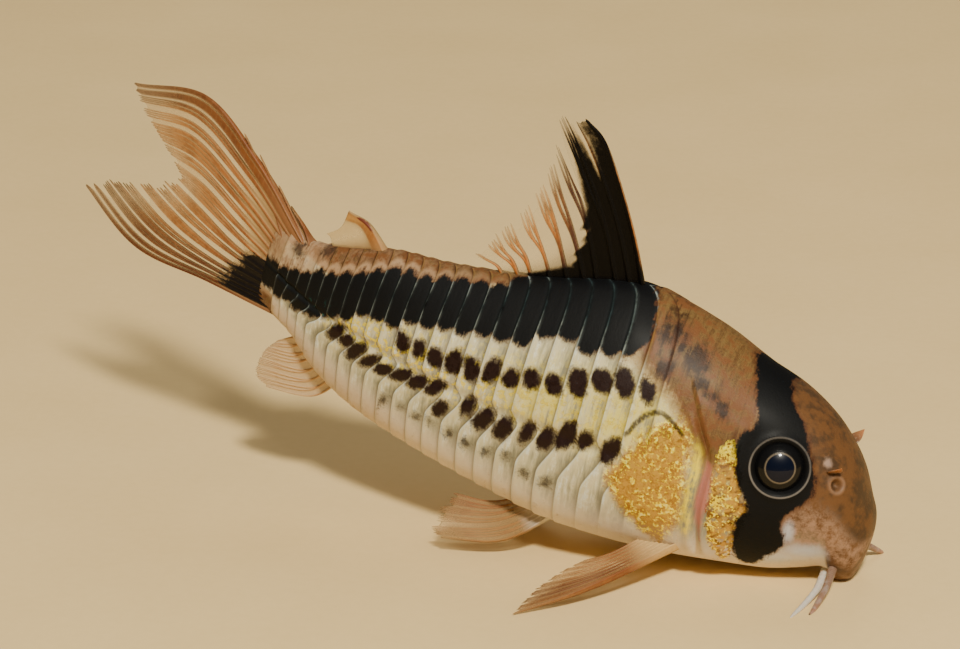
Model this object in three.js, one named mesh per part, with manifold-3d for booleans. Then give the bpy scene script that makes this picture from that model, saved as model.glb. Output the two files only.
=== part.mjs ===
// A corydoras catfish, 46 mm long to the base of its tail fin and about 61 mm with it. It stands
// head down on the bottom as it feeds, propped on its mouth, lower barbels and two pectoral fins,
// with the body swung a little to its left towards the tail.
//
// Everything is first placed on a straight fish: station s runs back along it, y to the fish's
// left and h up from the level of its belly. bend() then lays that straight fish along its
// curved spine. Lengths are millimetres, +X is ahead, +Y the fish's left, +Z up, floor at z = 0.

import * as THREE from "three";
import { mergeVertices } from "three/addons/utils/BufferGeometryUtils.js";
import Module from "manifold-3d";

const wasm = await Module();
wasm.setup();

const { clamp, lerp, smoothstep, degToRad } = THREE.MathUtils;

// Driving sizes
const SNOUT = 0.6; // station of the snout's tip
const SNOUT_LEVEL = 4.5; // height of that tip over the belly
const STALK_END = 46; // station where the tail stalk ends and the tail fin begins
const CAUDAL_REACH = 17; // length over which the tail fin keeps swinging round
const GAP = 0.3; // between two pieces that touch
const FIN_SKIN = 0.26; // half the thickness of a fin between its rays
const FIN_EDGE = 0.16; // half the thickness of a fin at its free edge
const RAY_STAND = 0.16; // how far a ray stands out of its fin on each side, at its root
const PLATES = 23; // plates in each row along the side
const PLATE_SHRINK = 0.44; // the last plate is this much shorter than the first
const PLATE_STAND = 0.2; // how far a plate's rear edge stands over the next
const ROW_SHIFT = 0.7; // how far ahead of the upper row's plates the lower row's start
const ROW_SWEEP = 1.1; // how far the lower row's edges then sweep back under the seam
const COVER_STAND = 0.25; // how far the gill cover stands over the cheek
const EYE_RADIUS = 1.75;
const BARBEL_RADIUS = 0.32;

// How the fish lies
const HEAD_DOWN = degToRad(11.5);
const BEND_FROM = 18;
const TAIL_SWING = degToRad(18);
const TAIL_RISE = degToRad(4);
const SWING_POWER = 1.25;
const FIN_SWING = degToRad(12);
const FIN_RISE = degToRad(6);
const SPINE_START = new THREE.Vector3(29.98, -0.03, -1.24); // centres the whole fish over the origin

// A smooth line through [x, value] pairs, held level past its ends
function smoothLine(pairs) {
  const slopeAt = (i) => {
    const [before, after] = [pairs[Math.max(i - 1, 0)], pairs[Math.min(i + 1, pairs.length - 1)]];
    return (after[1] - before[1]) / (after[0] - before[0]);
  };
  return (x) => {
    if (x <= pairs[0][0]) return pairs[0][1];
    const i = pairs.findIndex((p) => p[0] > x);
    if (i < 0) return pairs[pairs.length - 1][1];
    const [[x0, y0], [x1, y1]] = [pairs[i - 1], pairs[i]];
    const [w, t] = [x1 - x0, (x - x0) / (x1 - x0)];
    const [t2, t3] = [t * t, t * t * t];
    const points = (2 * t3 - 3 * t2 + 1) * y0 + (3 * t2 - 2 * t3) * y1;
    return points + w * ((t3 - 2 * t2 + t) * slopeAt(i - 1) + (t3 - t2) * slopeAt(i));
  };
}

// The curved spine
const SPINE_STEP = 0.25;
const SPINE_LENGTH = 72;
function spineAxes(s) {
  const along = clamp((s - BEND_FROM) / (STALK_END - BEND_FROM), 0, 1);
  const past = Math.max(0, (s - STALK_END) / CAUDAL_REACH);
  const swing = TAIL_SWING * along ** SWING_POWER + FIN_SWING * past;
  const pitch = HEAD_DOWN + TAIL_RISE * along + FIN_RISE * past;
  const level = new THREE.Vector3(Math.cos(swing), -Math.sin(swing), 0);
  const ahead = level.multiplyScalar(Math.cos(pitch)).setZ(-Math.sin(pitch));
  const left = new THREE.Vector3(Math.sin(swing), Math.cos(swing), 0);
  return { ahead, left, up: new THREE.Vector3().crossVectors(ahead, left) };
}
const spinePoints = [SPINE_START];
for (let s = SPINE_STEP / 2; s < SPINE_LENGTH; s += SPINE_STEP) {
  const last = spinePoints[spinePoints.length - 1];
  spinePoints.push(last.clone().addScaledVector(spineAxes(s).ahead, -SPINE_STEP));
}

// Takes a point (s, y, h) of the straight fish to its place on the floor
function bend({ x: s, y, z: h }) {
  const { left, up } = spineAxes(Math.max(s, 0));
  const steps = s / SPINE_STEP;
  const step = clamp(Math.floor(steps), 0, spinePoints.length - 2);
  const at = new THREE.Vector3().lerpVectors(spinePoints[step], spinePoints[step + 1], steps - step);
  return at.addScaledVector(left, y).addScaledVector(up, h);
}
const onSpine = (s, h) => bend(new THREE.Vector3(s, 0, h));

// The body's outline over the station, with the blunt snout drawn over the root of its distance
const SNOUT_END = 10;
const overSnout = (s) => Math.sqrt(Math.max(s - SNOUT, 0));
const snoutTop = smoothLine([
  [0, 4.7], [0.5, 6.1], [0.9, 7.2], [1.3, 8.9], [1.7, 10.4], [2.1, 11.8], [2.6, 13.2], [3.07, 14.2],
]);
const snoutBottom = smoothLine([
  [0, 4.2], [0.4, 2.6], [0.75, 1.2], [1, 0.9], [1.25, 1.0], [1.6, 1.5], [2, 1.0], [2.5, 0.3], [3.07, -0.1],
]);
const snoutWidth = smoothLine([
  [0, 0.3], [0.5, 1.8], [0.9, 2.6], [1.4, 3.5], [2, 4.3], [2.6, 4.95], [3.07, 5.4],
]);
const backLine = smoothLine([
  [8, 13.4], [10, 14.2], [14, 16.0], [18.6, 17.2], [22, 16.9], [26, 15.8], [29.5, 14.9], [34, 14.0],
  [38, 13.4], [42, 12.0], [44.6, 11.3], [46, 11.4],
]);
const bellyLine = smoothLine([
  [8, 0.1], [10, -0.1], [14, -0.5], [18, -0.7], [22, -0.65], [27, -0.2], [33, 0.4], [38, 1.1],
  [41.5, 2.3], [44, 3.9], [46, 4.6],
]);
const girthLine = smoothLine([
  [8, 5.1], [10, 5.4], [13, 5.9], [17, 6.1], [21, 5.8], [26, 4.9], [31, 3.9], [36, 2.9], [41, 1.9],
  [46, 0.9],
]);
const sagLine = smoothLine([[0, 1], [6, 1.1], [12, 1.25], [20, 1.35], [32, 1.2], [46, 1]]);
const ridgeLine = smoothLine([[0, 1], [7, 0.85], [12, 1], [18, 1.2], [30, 1.2], [46, 1]]);
const topAt = (s) => (s < SNOUT_END ? snoutTop(overSnout(s)) : backLine(s));
const bottomAt = (s) => (s < SNOUT_END ? snoutBottom(overSnout(s)) : bellyLine(s));
const halfWidthAt = (s) => (s < SNOUT_END ? snoutWidth(overSnout(s)) : girthLine(s));

// A point of the plain skin: turn is 0 on the back, pi on the belly and negative on the right side
function skin(s, turn) {
  const up = ((1 + Math.cos(turn)) / 2) ** sagLine(s);
  const sharp = 1 + (ridgeLine(s) - 1) * Math.max(0, Math.cos(turn));
  const out = Math.sign(Math.sin(turn)) * Math.abs(Math.sin(turn)) ** sharp;
  return new THREE.Vector3(s, halfWidthAt(s) * out, lerp(bottomAt(s), topAt(s), up));
}
const NUDGE = 0.03;
function outward(s, turn) {
  const alongS = skin(s + NUDGE, turn).sub(skin(Math.max(s - NUDGE, SNOUT), turn));
  const alongTurn = skin(s, turn + NUDGE).sub(skin(s, turn - NUDGE));
  return alongS.cross(alongTurn).normalize();
}
const raised = (s, turn, raise) => skin(s, turn).addScaledVector(outward(s, turn), raise);

// The turn at which the underside lies y out from the middle
function underTurn(s, y) {
  const side = Math.sign(y || 1);
  return side * (Math.PI - Math.asin(clamp(Math.abs(y) / halfWidthAt(s), 0, 1)));
}

// A solid from a three.js geometry, or from points and triangles
const WELD = 1e-4;
function solidOf(geometry) {
  const plain = geometry.clone();
  plain.deleteAttribute("normal");
  plain.deleteAttribute("uv");
  const merged = mergeVertices(plain, WELD);
  const mesh = new wasm.Mesh({
    numProp: 3,
    vertProperties: new Float32Array(merged.attributes.position.array),
    triVerts: new Uint32Array(merged.index.array),
  });
  return new wasm.Manifold(mesh);
}
function solidFrom(points, triangles) {
  const geometry = new THREE.BufferGeometry().setFromPoints(points);
  const made = solidOf(geometry.setIndex(triangles.flat()));
  if (made.volume() > 0) return made;
  return solidOf(geometry.setIndex(triangles.map(([a, b, c]) => [a, c, b]).flat()));
}

// A body skinned over rings of equal count, closed at each end by a fan
function skinned(rings, frontMiddle, rearMiddle) {
  const n = rings[0].length;
  const next = (i) => (i + 1) % n;
  const triangles = [];
  for (let base = 0; base < (rings.length - 1) * n; base += n) {
    for (let i = 0; i < n; i++) {
      const [a, b] = [base + i, base + next(i)];
      triangles.push([a, b, b + n], [a, b + n, a + n]);
    }
  }
  const front = rings.length * n;
  const rear = front + 1;
  const last = front - n;
  for (let i = 0; i < n; i++) {
    triangles.push([front, next(i), i], [rear, last + i, last + next(i)]);
  }
  return solidFrom([...rings.flat(), frontMiddle, rearMiddle], triangles);
}

// A round tapering tube along a curve of the straight fish
function tube(curve, steps, radiusAt, sides = 8) {
  const rings = [];
  for (let k = 0; k <= steps; k++) {
    const t = k / steps;
    const at = curve.getPoint(t);
    const along = curve.getTangent(t);
    const side = new THREE.Vector3(0, 0, 1).cross(along).normalize();
    const over = along.clone().cross(side);
    const round = [];
    for (let i = 0; i < sides; i++) {
      const turn = (2 * Math.PI * i) / sides;
      const out = side.clone().multiplyScalar(Math.cos(turn)).addScaledVector(over, Math.sin(turn));
      round.push(bend(at.clone().addScaledVector(out, radiusAt(t))));
    }
    rings.push(round);
  }
  return skinned(rings, bend(curve.getPoint(0)), bend(curve.getPoint(1)));
}
const throughPoints = (points) => new THREE.CatmullRomCurve3(points.map((p) => new THREE.Vector3(...p)));

const fish = new THREE.Group();
function add(name, solid, color, roughness = 0.45, metalness = 0) {
  const largest = solid.decompose().reduce((a, b) => (a.volume() > b.volume() ? a : b));
  const mesh = largest.getMesh();
  const geometry = new THREE.BufferGeometry();
  geometry.setAttribute("position", new THREE.BufferAttribute(new Float32Array(mesh.vertProperties), 3));
  geometry.setIndex(new THREE.BufferAttribute(new Uint32Array(mesh.triVerts), 1));
  geometry.computeVertexNormals();
  const made = new THREE.Mesh(geometry, new THREE.MeshStandardMaterial({ color, roughness, metalness }));
  made.name = name;
  fish.add(made);
}

// What lies below the floor is cut away, which leaves the small flats that the fish rests on
const FLOOR_BLOCK = [140, 80, 20];
const belowFloor = solidOf(new THREE.BoxGeometry(...FLOOR_BLOCK).translate(0, 0, -FLOOR_BLOCK[2] / 2));

// Round the body the skin has these turns, with three close together at the seam of the plate rows
const SEAM = 84;
const SIDE_TURNS = [9, 19, 32, 46, 60, 73, SEAM - 3, SEAM, SEAM + 3, 97, 110, 123, 137, 152, 166];
const TURNS = [0, ...SIDE_TURNS, 180, ...SIDE_TURNS.map((t) => -t).reverse()].map(degToRad);
const seamTurn = degToRad(SEAM);
const NO_RAISE = () => 0;
function ring(stationAt, raiseAt = NO_RAISE) {
  return TURNS.map((turn) => {
    const s = stationAt(Math.abs(turn));
    return bend(raised(s, turn, raiseAt(Math.abs(turn), s)));
  });
}
const middle = (s) => onSpine(s, (topAt(s) + bottomAt(s)) / 2);

// Where the head ends: the gill covers' rear edge, and the nape above it
const HEAD_END = 12.4; // station of the middle of that end
const gillEdge = smoothLine([
  [0, 15.4], [0.7, 14.6], [1.05, 12.9], [1.25, 11.9], [1.75, 11.75], [2.3, 11.2], [3.1, 10.4],
]);

// The head's plain form, with the two gill covers standing over the cheeks
const COVER_FRONT = 8.9;
const COVER_SLOPE = 0.9;
const COVER_TOP = degToRad(52);
const COVER_FOOT = degToRad(132);
const COVER_EASE = 0.2;
function coverRaise(turn, s) {
  const above = smoothstep(turn, COVER_TOP - COVER_EASE, COVER_TOP);
  const below = 1 - smoothstep(turn, COVER_FOOT, COVER_FOOT + COVER_EASE);
  return COVER_STAND * above * below * smoothstep(s, COVER_FRONT, COVER_FRONT + COVER_SLOPE);
}
const HEAD_LENGTH = 11;
const HEAD_STEPS = [
  0.003, 0.012, 0.03, 0.055, 0.085, 0.12, 0.165, 0.22, 0.28, 0.35, 0.43, 0.51, 0.6, 0.68, 0.75, 0.83, 0.92, 1,
];
function headForm() {
  const rings = HEAD_STEPS.map((u) => {
    const follow = smoothstep(u, 0.1, 0.8);
    const stationAt = (turn) => SNOUT + u * lerp(HEAD_LENGTH, gillEdge(turn) - SNOUT, follow);
    return ring(stationAt, coverRaise);
  });
  return skinned(rings, onSpine(SNOUT, SNOUT_LEVEL), middle(HEAD_END));
}

// The shoulder behind the gills, and then the two rows of plates, wide ones first
const PLATE_STEP = 0.12; // length over which a plate's edge drops to the next
const LOW_EDGE = 0.25; // height of a plate's front edge as a share of its rear edge's
const SEAM_HALF = 0.05;
const SWEEP_REACH = 0.38; // how far round from the seam the lower row's edges sweep back
const SWEEP_FADE = 4; // length ahead of the stalk's end over which the sweep dies out
const firstPlate = smoothLine([[0, 17.8], [0.3, 16.6], [0.7, 16.1], [3.1, 16.3]]);
const plateShares = [0];
for (let k = 0; k < PLATES; k++) {
  plateShares.push(plateShares[k] + 1 - (PLATE_SHRINK * k) / (PLATES - 1));
}
function rowSweep(turn) {
  const ahead = ROW_SHIFT * smoothstep(turn, seamTurn - SEAM_HALF, seamTurn + SEAM_HALF);
  return ROW_SWEEP * smoothstep(turn, seamTurn, seamTurn + SWEEP_REACH) - ahead;
}
function plateLine(k) {
  const share = plateShares[k] / plateShares[PLATES];
  return (turn) => {
    const level = lerp(firstPlate(turn), STALK_END, share);
    return level + rowSweep(turn) * clamp((STALK_END - level) / SWEEP_FADE, 0, 1);
  };
}
function plateRaise(turn) {
  const besideSeam = smoothstep(Math.abs(turn - seamTurn), 0.01, 0.06);
  const offTheBack = smoothstep(turn, 0.02, 0.3);
  const offTheBelly = 1 - smoothstep(turn, 2.5, 2.85);
  return PLATE_STAND * besideSeam * offTheBack * offTheBelly;
}
function plateRings(first, last, clearance) {
  const rings = [];
  for (let k = first; k < last; k++) {
    const start = k === first ? clearance : 0;
    const frontRaise = (turn) => (k === 0 && turn > seamTurn ? 0 : LOW_EDGE * plateRaise(turn));
    rings.push(ring((turn) => plateLine(k)(turn) + start, frontRaise));
    rings.push(ring((turn) => plateLine(k + 1)(turn) - PLATE_STEP, plateRaise));
  }
  return rings;
}
const STALK_PLATE = 15; // the plate at which the tail stalk starts
const stalkStart = plateLine(STALK_PLATE)(seamTurn);
function trunkForm() {
  const shoulderAt = (t) => (turn) => lerp(gillEdge(turn) + GAP, plateLine(0)(turn), t);
  const shoulder = [ring(shoulderAt(0)), ring(shoulderAt(0.5))];
  const upperRaise = (turn) => (turn < seamTurn ? plateRaise(turn) : 0);
  shoulder.push(ring((turn) => plateLine(0)(turn) - PLATE_STEP, upperRaise));
  const rings = [...shoulder, ...plateRings(0, STALK_PLATE, 0)];
  return skinned(rings, middle(HEAD_END + GAP), middle(stalkStart));
}
function stalkForm() {
  const rings = plateRings(STALK_PLATE, PLATES, GAP);
  return skinned(rings, middle(stalkStart + GAP), middle(STALK_END - PLATE_STEP));
}

// The room that the fins' roots keep clear of: the body with its plates, grown by the gap
const ROOM_SNOUT_RINGS = 24;
const ROOM_STEP = 1.5;
function bodyRoom() {
  const stations = [];
  for (let k = 0; k < ROOM_SNOUT_RINGS; k++) {
    stations.push(SNOUT + 0.01 + (k / (ROOM_SNOUT_RINGS - 1)) ** 2 * SNOUT_END);
  }
  for (let s = SNOUT_END + 2; s < STALK_END; s += ROOM_STEP) stations.push(s);
  stations.push(STALK_END + GAP);
  const raiseAt = (turn, s) => GAP + (s > SNOUT_END ? plateRaise(turn) : 0);
  const rings = stations.map((s) => ring(() => s, raiseAt));
  return skinned(rings, onSpine(SNOUT - GAP, SNOUT_LEVEL), middle(STALK_END + GAP));
}

// A frame on the skin, z outward and x towards the tail, for what sits on it
function onSkin(s, turn, stand = 0) {
  const at = bend(raised(s, turn, stand));
  const out = bend(raised(s, turn, stand + 1)).sub(at).normalize();
  const back = bend(raised(s + 1, turn, stand)).sub(at);
  const side = new THREE.Vector3().crossVectors(out, back).normalize();
  return new THREE.Matrix4().makeBasis(side.clone().cross(out), side, out).setPosition(at);
}
const placed = (geometry, frame) => solidOf(geometry.clone().applyMatrix4(frame));

// The eye, a flattened ball in its socket with a thin rim round it
const EYE = { station: 7.35, turn: degToRad(66), flat: 0.62, sink: 0.75 };
const RIM = { thick: 0.22, clear: 0.1, sink: 0.1 };
function eyeBall(side, grow) {
  const ball = new THREE.SphereGeometry(EYE_RADIUS + grow, 20, 12).rotateX(Math.PI / 2);
  return placed(ball.scale(1, 1, EYE.flat), onSkin(EYE.station, side * EYE.turn, -EYE.sink));
}
function eyeRim(side) {
  const rim = new THREE.TorusGeometry(EYE_RADIUS + GAP + RIM.clear, RIM.thick, 6, 24);
  return placed(rim, onSkin(EYE.station, side * EYE.turn, -RIM.sink));
}

// The nostrils: a pit, a pointed flap and a second pit behind it
const NOSTRIL_TURN = degToRad(49);
const FLAP = { station: 3.8, radius: 0.52, height: 1.7, flat: 0.7, stand: 0.35 };
const PITS = [{ station: 3.05, radius: 0.38 }, { station: 4.7, radius: 0.3 }];
const PIT_STAND = 0.05;
function nostrilFlap(side) {
  const cone = new THREE.ConeGeometry(FLAP.radius, FLAP.height, 8).rotateX(Math.PI / 2);
  return placed(cone.scale(FLAP.flat, 1, 1), onSkin(FLAP.station, side * NOSTRIL_TURN, FLAP.stand));
}
function nostrilPit(side, { station, radius }) {
  return placed(new THREE.SphereGeometry(radius, 8, 6), onSkin(station, side * NOSTRIL_TURN, PIT_STAND));
}

// The mouth, a slot that opens down and back between two lips
const MOUTH_HALF = 1.3;
const LIP_SINK = 0.12;
const LIP_CORNER = 0.55; // a lip's thickness at the corners as a share of the middle's
const UPPER_LIP = { station: 1.75, curve: 0.75, radius: 0.34 };
const LOWER_LIP = { station: 2.6, curve: 0.35, radius: 0.3 };
const SLOT = { station: 2.2, curve: 0.55, radius: 0.2, reach: 0.85 };
function mouthCurve({ station, curve, reach = 1 }, sink) {
  const points = [-1, -0.5, 0, 0.5, 1].map((across) => {
    const s = station + curve * across ** 2;
    return raised(s, underTurn(s, across * MOUTH_HALF * reach), -sink).toArray();
  });
  return throughPoints(points);
}
function lip(which, grow = 0) {
  const swell = (t) => LIP_CORNER + (1 - LIP_CORNER) * Math.sin(Math.PI * t);
  return tube(mouthCurve(which, LIP_SINK), 8, (t) => grow + which.radius * swell(t));
}

const SIDES = { right: -1, left: 1 };
function head() {
  let made = headForm().add(lip(UPPER_LIP)).add(lip(LOWER_LIP));
  made = made.subtract(tube(mouthCurve(SLOT, 0), 8, () => SLOT.radius, 6));
  for (const side of Object.values(SIDES)) {
    made = made.add(eyeRim(side)).add(nostrilFlap(side)).subtract(eyeBall(side, GAP));
    for (const pit of PITS) made = made.subtract(nostrilPit(side, pit));
  }
  return made.subtract(belowFloor);
}

add("head", head(), 0x8a6a4c, 0.4);
add("trunk", trunkForm(), 0xb9a88a, 0.35, 0.1);
add("tail_stalk", stalkForm(), 0x3a3630, 0.35, 0.1);
for (const [name, side] of Object.entries(SIDES)) add(`eye_${name}`, eyeBall(side, 0), 0x0b0d12, 0.08);

// Barbels: from the corners of the mouth out to the floor, with each route as (s, y, h)
const BARBELS = {
  upper_right: [[2.6, -1.2, 2.2], [2.4, -2.3, 2.3], [2.3, -4.1, 1.7], [2.45, -5.9, 0.95], [2.6, -7.2, 0.62]],
  lower_right: [[2.9, -0.9, 1.5], [2.9, -2.2, 1.35], [2.95, -4.0, 1.05], [3.3, -6.1, 0.72], [3.7, -8.0, 0.5]],
  upper_left: [[2.5, 1.2, 2.2], [1.9, 2.3, 2.3], [1.1, 3.3, 2.0], [0.5, 4.0, 1.6], [0.05, 4.6, 1.25]],
  lower_left: [[2.9, 0.9, 1.5], [2.9, 2.2, 1.3], [2.8, 3.9, 1.05], [2.9, 5.6, 0.8], [3.3, 7.4, 0.6]],
};
const BARBEL_ROOT = 1.15;
const BARBEL_TAPER = 0.65;
const room = bodyRoom();
const mouthRoom = room.add(lip(UPPER_LIP, GAP)).add(lip(LOWER_LIP, GAP)).add(belowFloor);
const barbelRadius = (t) => BARBEL_RADIUS * (BARBEL_ROOT - BARBEL_TAPER * t);
for (const [name, route] of Object.entries(BARBELS)) {
  add(`barbel_${name}`, tube(throughPoints(route), 10, barbelRadius).subtract(mouthRoom), 0xb79c7c, 0.5);
}

// A fin: rays that fan out between guide curves, thin skin between them and a free edge that dips
// between the tips. Guides run from the root line to the tip line; each lists [u, s, y, h], u
// going from the first ray to the last.
function guideCurve(list) {
  const lines = [1, 2, 3].map((k) => smoothLine(list.map((row) => [row[0], row[k]])));
  return (u) => new THREE.Vector3(...lines.map((line) => line(u)));
}
function finSurface(guides) {
  const curves = guides.map(guideCurve);
  return (u, v) => {
    const at = curves.map((curve) => curve(u));
    const spread = (axis) => smoothLine(at.map((p, i) => [i / (at.length - 1), p[axis]]));
    return new THREE.Vector3(...["x", "y", "z"].map((axis) => spread(axis)(v)));
  };
}
const EDGE_FROM = 0.75; // share of the fin's length at which it starts to thin towards its edge
function finHalf({ spine = 0, skinHalf = FIN_SKIN, rootHalf = 0 }, column, v) {
  const spineRay = column === 0 ? spine * (1 - v) : 0;
  const ray = column % 2 ? 0 : RAY_STAND * (1 - 0.5 * v) + spineRay;
  return lerp(skinHalf + ray, FIN_EDGE, smoothstep(v, EDGE_FROM, 1)) + rootHalf * (1 - v) ** 4;
}
function finFaces(sizes, columns) {
  const { guides, rows, side = 1, notch = 0.05 } = sizes;
  const surface = finSurface(guides);
  const faces = [[], []];
  for (let i = 0; i < (rows + 1) * columns; i++) {
    const column = i % columns;
    const u = column / (columns - 1);
    const v = (Math.floor(i / columns) / rows) * (column % 2 ? 1 - notch : 1);
    const at = surface(u, v);
    const across = surface(Math.min(u + NUDGE, 1), v).sub(surface(Math.max(u - NUDGE, 0), v));
    const along = surface(u, Math.min(v + NUDGE, 1)).sub(surface(u, Math.max(v - NUDGE, 0)));
    const out = along.cross(across).normalize();
    [1, -1].forEach((sign, k) => {
      const p = at.clone().addScaledVector(out, sign * finHalf(sizes, column, v));
      faces[k].push(bend(p.setY(p.y * side)));
    });
  }
  return faces;
}
function fin(sizes) {
  const { rays, rows } = sizes;
  const columns = 2 * rays - 1;
  const faces = finFaces(sizes, columns);
  const count = faces[0].length;
  const triangles = [];
  const quad = (a, b, c, d) => triangles.push([a, b, c], [a, c, d]);
  for (let r = 0; r < rows; r++) {
    for (let a = r * columns; a < (r + 1) * columns - 1; a++) {
      const [b, c, d] = [a + 1, a + columns + 1, a + columns];
      quad(a, b, c, d);
      triangles.push([a + count, c + count, b + count], [a + count, d + count, c + count]);
    }
  }
  const edge = [];
  for (let c = 0; c < columns; c++) edge.push(c);
  for (let r = 1; r <= rows; r++) edge.push(r * columns + columns - 1);
  for (let c = columns - 2; c >= 0; c--) edge.push(rows * columns + c);
  for (let r = rows - 1; r > 0; r--) edge.push(r * columns);
  edge.forEach((a, i) => {
    const b = edge[(i + 1) % edge.length];
    quad(b, a, a + count, b + count);
  });
  return solidFrom(faces.flat(), triangles);
}

// The fins on the middle line
const onMiddle = (rows) => rows.map(([u, s, h]) => [u, s, 0, h]);
const DORSAL = {
  guides: [
    onMiddle([[0, 19.2, 16.2], [0.25, 21.8, 16.0], [0.5, 24.4, 15.4], [0.75, 27, 14.7], [1, 29.4, 14.0]]),
    onMiddle([[0, 21.4, 21.0], [0.25, 23.8, 20.4], [0.5, 25.9, 18.3], [0.75, 28.0, 16.4], [1, 30.3, 15.0]]),
    onMiddle([[0, 24.4, 25.9], [0.25, 26.2, 23.8], [0.5, 27.3, 20.4], [0.75, 29.1, 17.5], [1, 31.3, 15.2]]),
    onMiddle([
      [0, 26.4, 27.4], [0.12, 27.6, 27.3], [0.25, 28.5, 26.7], [0.38, 28.2, 24.3], [0.6, 29.0, 20.9],
      [0.8, 30.5, 18.2], [1, 32.3, 15.3],
    ]),
  ],
  rays: 9,
  rows: 7,
  spine: 0.25,
};
const CAUDAL = {
  guides: [
    onMiddle([[0, 44.6, 11.1], [0.5, 45.8, 7.9], [1, 45.0, 4.9]]),
    onMiddle([[0, 50.4, 15.1], [0.25, 51.2, 12.1], [0.5, 50.0, 8.6], [0.75, 51.0, 5.9], [1, 52.4, 4.1]]),
    onMiddle([[0, 56.6, 17.4], [0.25, 56.6, 13.7], [0.5, 54.0, 9.6], [0.75, 57.0, 6.0], [1, 59.6, 2.7]]),
    onMiddle([
      [0, 63.7, 14.5], [0.17, 62.4, 13.2], [0.33, 59.6, 11.9], [0.5, 57.3, 10.2], [0.67, 60.6, 8.1],
      [0.83, 63.8, 6.1], [1, 66.0, 3.9],
    ]),
  ],
  rays: 16,
  rows: 7,
  rootHalf: 0.4,
};
const ANAL = {
  guides: [
    onMiddle([[0, 39.6, 2.2], [1, 43.4, 4.4]]),
    onMiddle([[0, 41.6, 0.1], [1, 44.3, 3.7]]),
    onMiddle([[0, 45.3, -1.0], [0.2, 46.5, -0.5], [0.6, 46.3, 1.4], [1, 45.3, 2.9]]),
  ],
  rays: 7,
  rows: 5,
};
const ADIPOSE = {
  guides: [
    onMiddle([[0, 38.2, 12.9], [1, 42.6, 11.3]]),
    onMiddle([[0, 40.2, 14.5], [1, 43.0, 12.2]]),
    onMiddle([[0, 42.1, 14.8], [0.4, 42.4, 13.4], [1, 43.4, 12.4]]),
  ],
  rays: 3,
  rows: 4,
  spine: 0.15,
  notch: 0,
};
add("dorsal_fin", fin(DORSAL).subtract(room), 0x241c18, 0.5);
add("caudal_fin", fin(CAUDAL).subtract(room), 0xa8683c, 0.5);
add("anal_fin", fin(ANAL).subtract(room), 0xc9a070, 0.5);
add("adipose_fin", fin(ADIPOSE).subtract(room), 0xa8703f, 0.5);

// The paired fins, given for the left side
const PECTORAL = {
  guides: [
    [[0, 12.2, 3.9, 1.7], [1, 14.8, 3.9, 1.4]],
    [[0, 16.6, 9.4, -0.75], [1, 16.7, 5.9, 0.2]],
    [[0, 20.9, 13.0, -2.9], [0.4, 20.4, 11.0, -1.9], [0.7, 19.4, 9.0, -0.95], [1, 18.2, 7.4, -0.2]],
  ],
  rays: 8,
  rows: 7,
  spine: 0.3,
};
const PELVIC = {
  guides: [
    [[0, 21.4, 2.3, 0.2], [1, 23.6, 1.5, 0.6]],
    [[0, 24.4, 3.8, -2.5], [1, 26.2, 2.1, -0.7]],
    [[0, 28.4, 5.0, -3.3], [0.3, 29.2, 4.6, -3.1], [0.6, 29.3, 3.8, -2.2], [1, 28.9, 2.3, -1.0]],
  ],
  rays: 6,
  rows: 6,
};
const bodyAndFloor = room.add(belowFloor);
for (const [name, side] of Object.entries(SIDES)) {
  add(`pectoral_fin_${name}`, fin({ ...PECTORAL, side }).subtract(bodyAndFloor), 0xa9713f, 0.5);
  add(`pelvic_fin_${name}`, fin({ ...PELVIC, side }).subtract(bodyAndFloor), 0xb98a5c, 0.5);
}

export default fish;
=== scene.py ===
import math

import bmesh
import bpy
import numpy as np
from mathutils import Matrix, Vector


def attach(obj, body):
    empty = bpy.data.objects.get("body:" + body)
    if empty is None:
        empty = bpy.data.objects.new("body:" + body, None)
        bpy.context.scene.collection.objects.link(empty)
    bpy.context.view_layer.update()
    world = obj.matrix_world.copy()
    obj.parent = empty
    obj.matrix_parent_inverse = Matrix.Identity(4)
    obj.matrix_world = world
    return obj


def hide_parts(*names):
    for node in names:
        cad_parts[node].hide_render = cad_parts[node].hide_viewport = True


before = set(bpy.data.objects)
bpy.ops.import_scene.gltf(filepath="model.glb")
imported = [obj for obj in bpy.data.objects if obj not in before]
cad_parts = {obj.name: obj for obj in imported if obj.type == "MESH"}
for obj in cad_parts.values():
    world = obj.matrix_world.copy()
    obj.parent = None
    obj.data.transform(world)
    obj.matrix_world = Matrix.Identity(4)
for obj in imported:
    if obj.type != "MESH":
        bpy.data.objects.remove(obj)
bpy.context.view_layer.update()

# The camera looks at the fish's right side from a little ahead and above, as the photo does.
# The fish fills the frame, with its snout near the right edge.
MM = 0.001
AZIMUTH = math.radians(14)
ELEVATION = math.radians(23)
PIVOT = Vector((15.02, -0.04, 0))
DISTANCE = 300
AIM_LEFT = 12.12
AIM_UP = 15.56
LENS = 163.6
cam_right = Vector((math.cos(AZIMUTH), math.sin(AZIMUTH), 0))
cam_back = Vector((
    math.cos(ELEVATION) * math.sin(AZIMUTH),
    -math.cos(ELEVATION) * math.cos(AZIMUTH),
    math.sin(ELEVATION),
))
cam_up = cam_back.cross(cam_right)
camera = bpy.data.objects.new("camera", bpy.data.cameras.new("camera"))
camera.data.lens = LENS
camera.data.sensor_width = 36
camera.data.clip_start = 0.01
camera.location = (PIVOT + DISTANCE * cam_back) * MM
aim = (PIVOT - AIM_LEFT * cam_right + AIM_UP * cam_up) * MM
camera.rotation_euler = (aim - camera.location).to_track_quat("-Z", "Y").to_euler()
bpy.context.scene.collection.objects.link(camera)
bpy.context.scene.camera = camera

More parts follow.
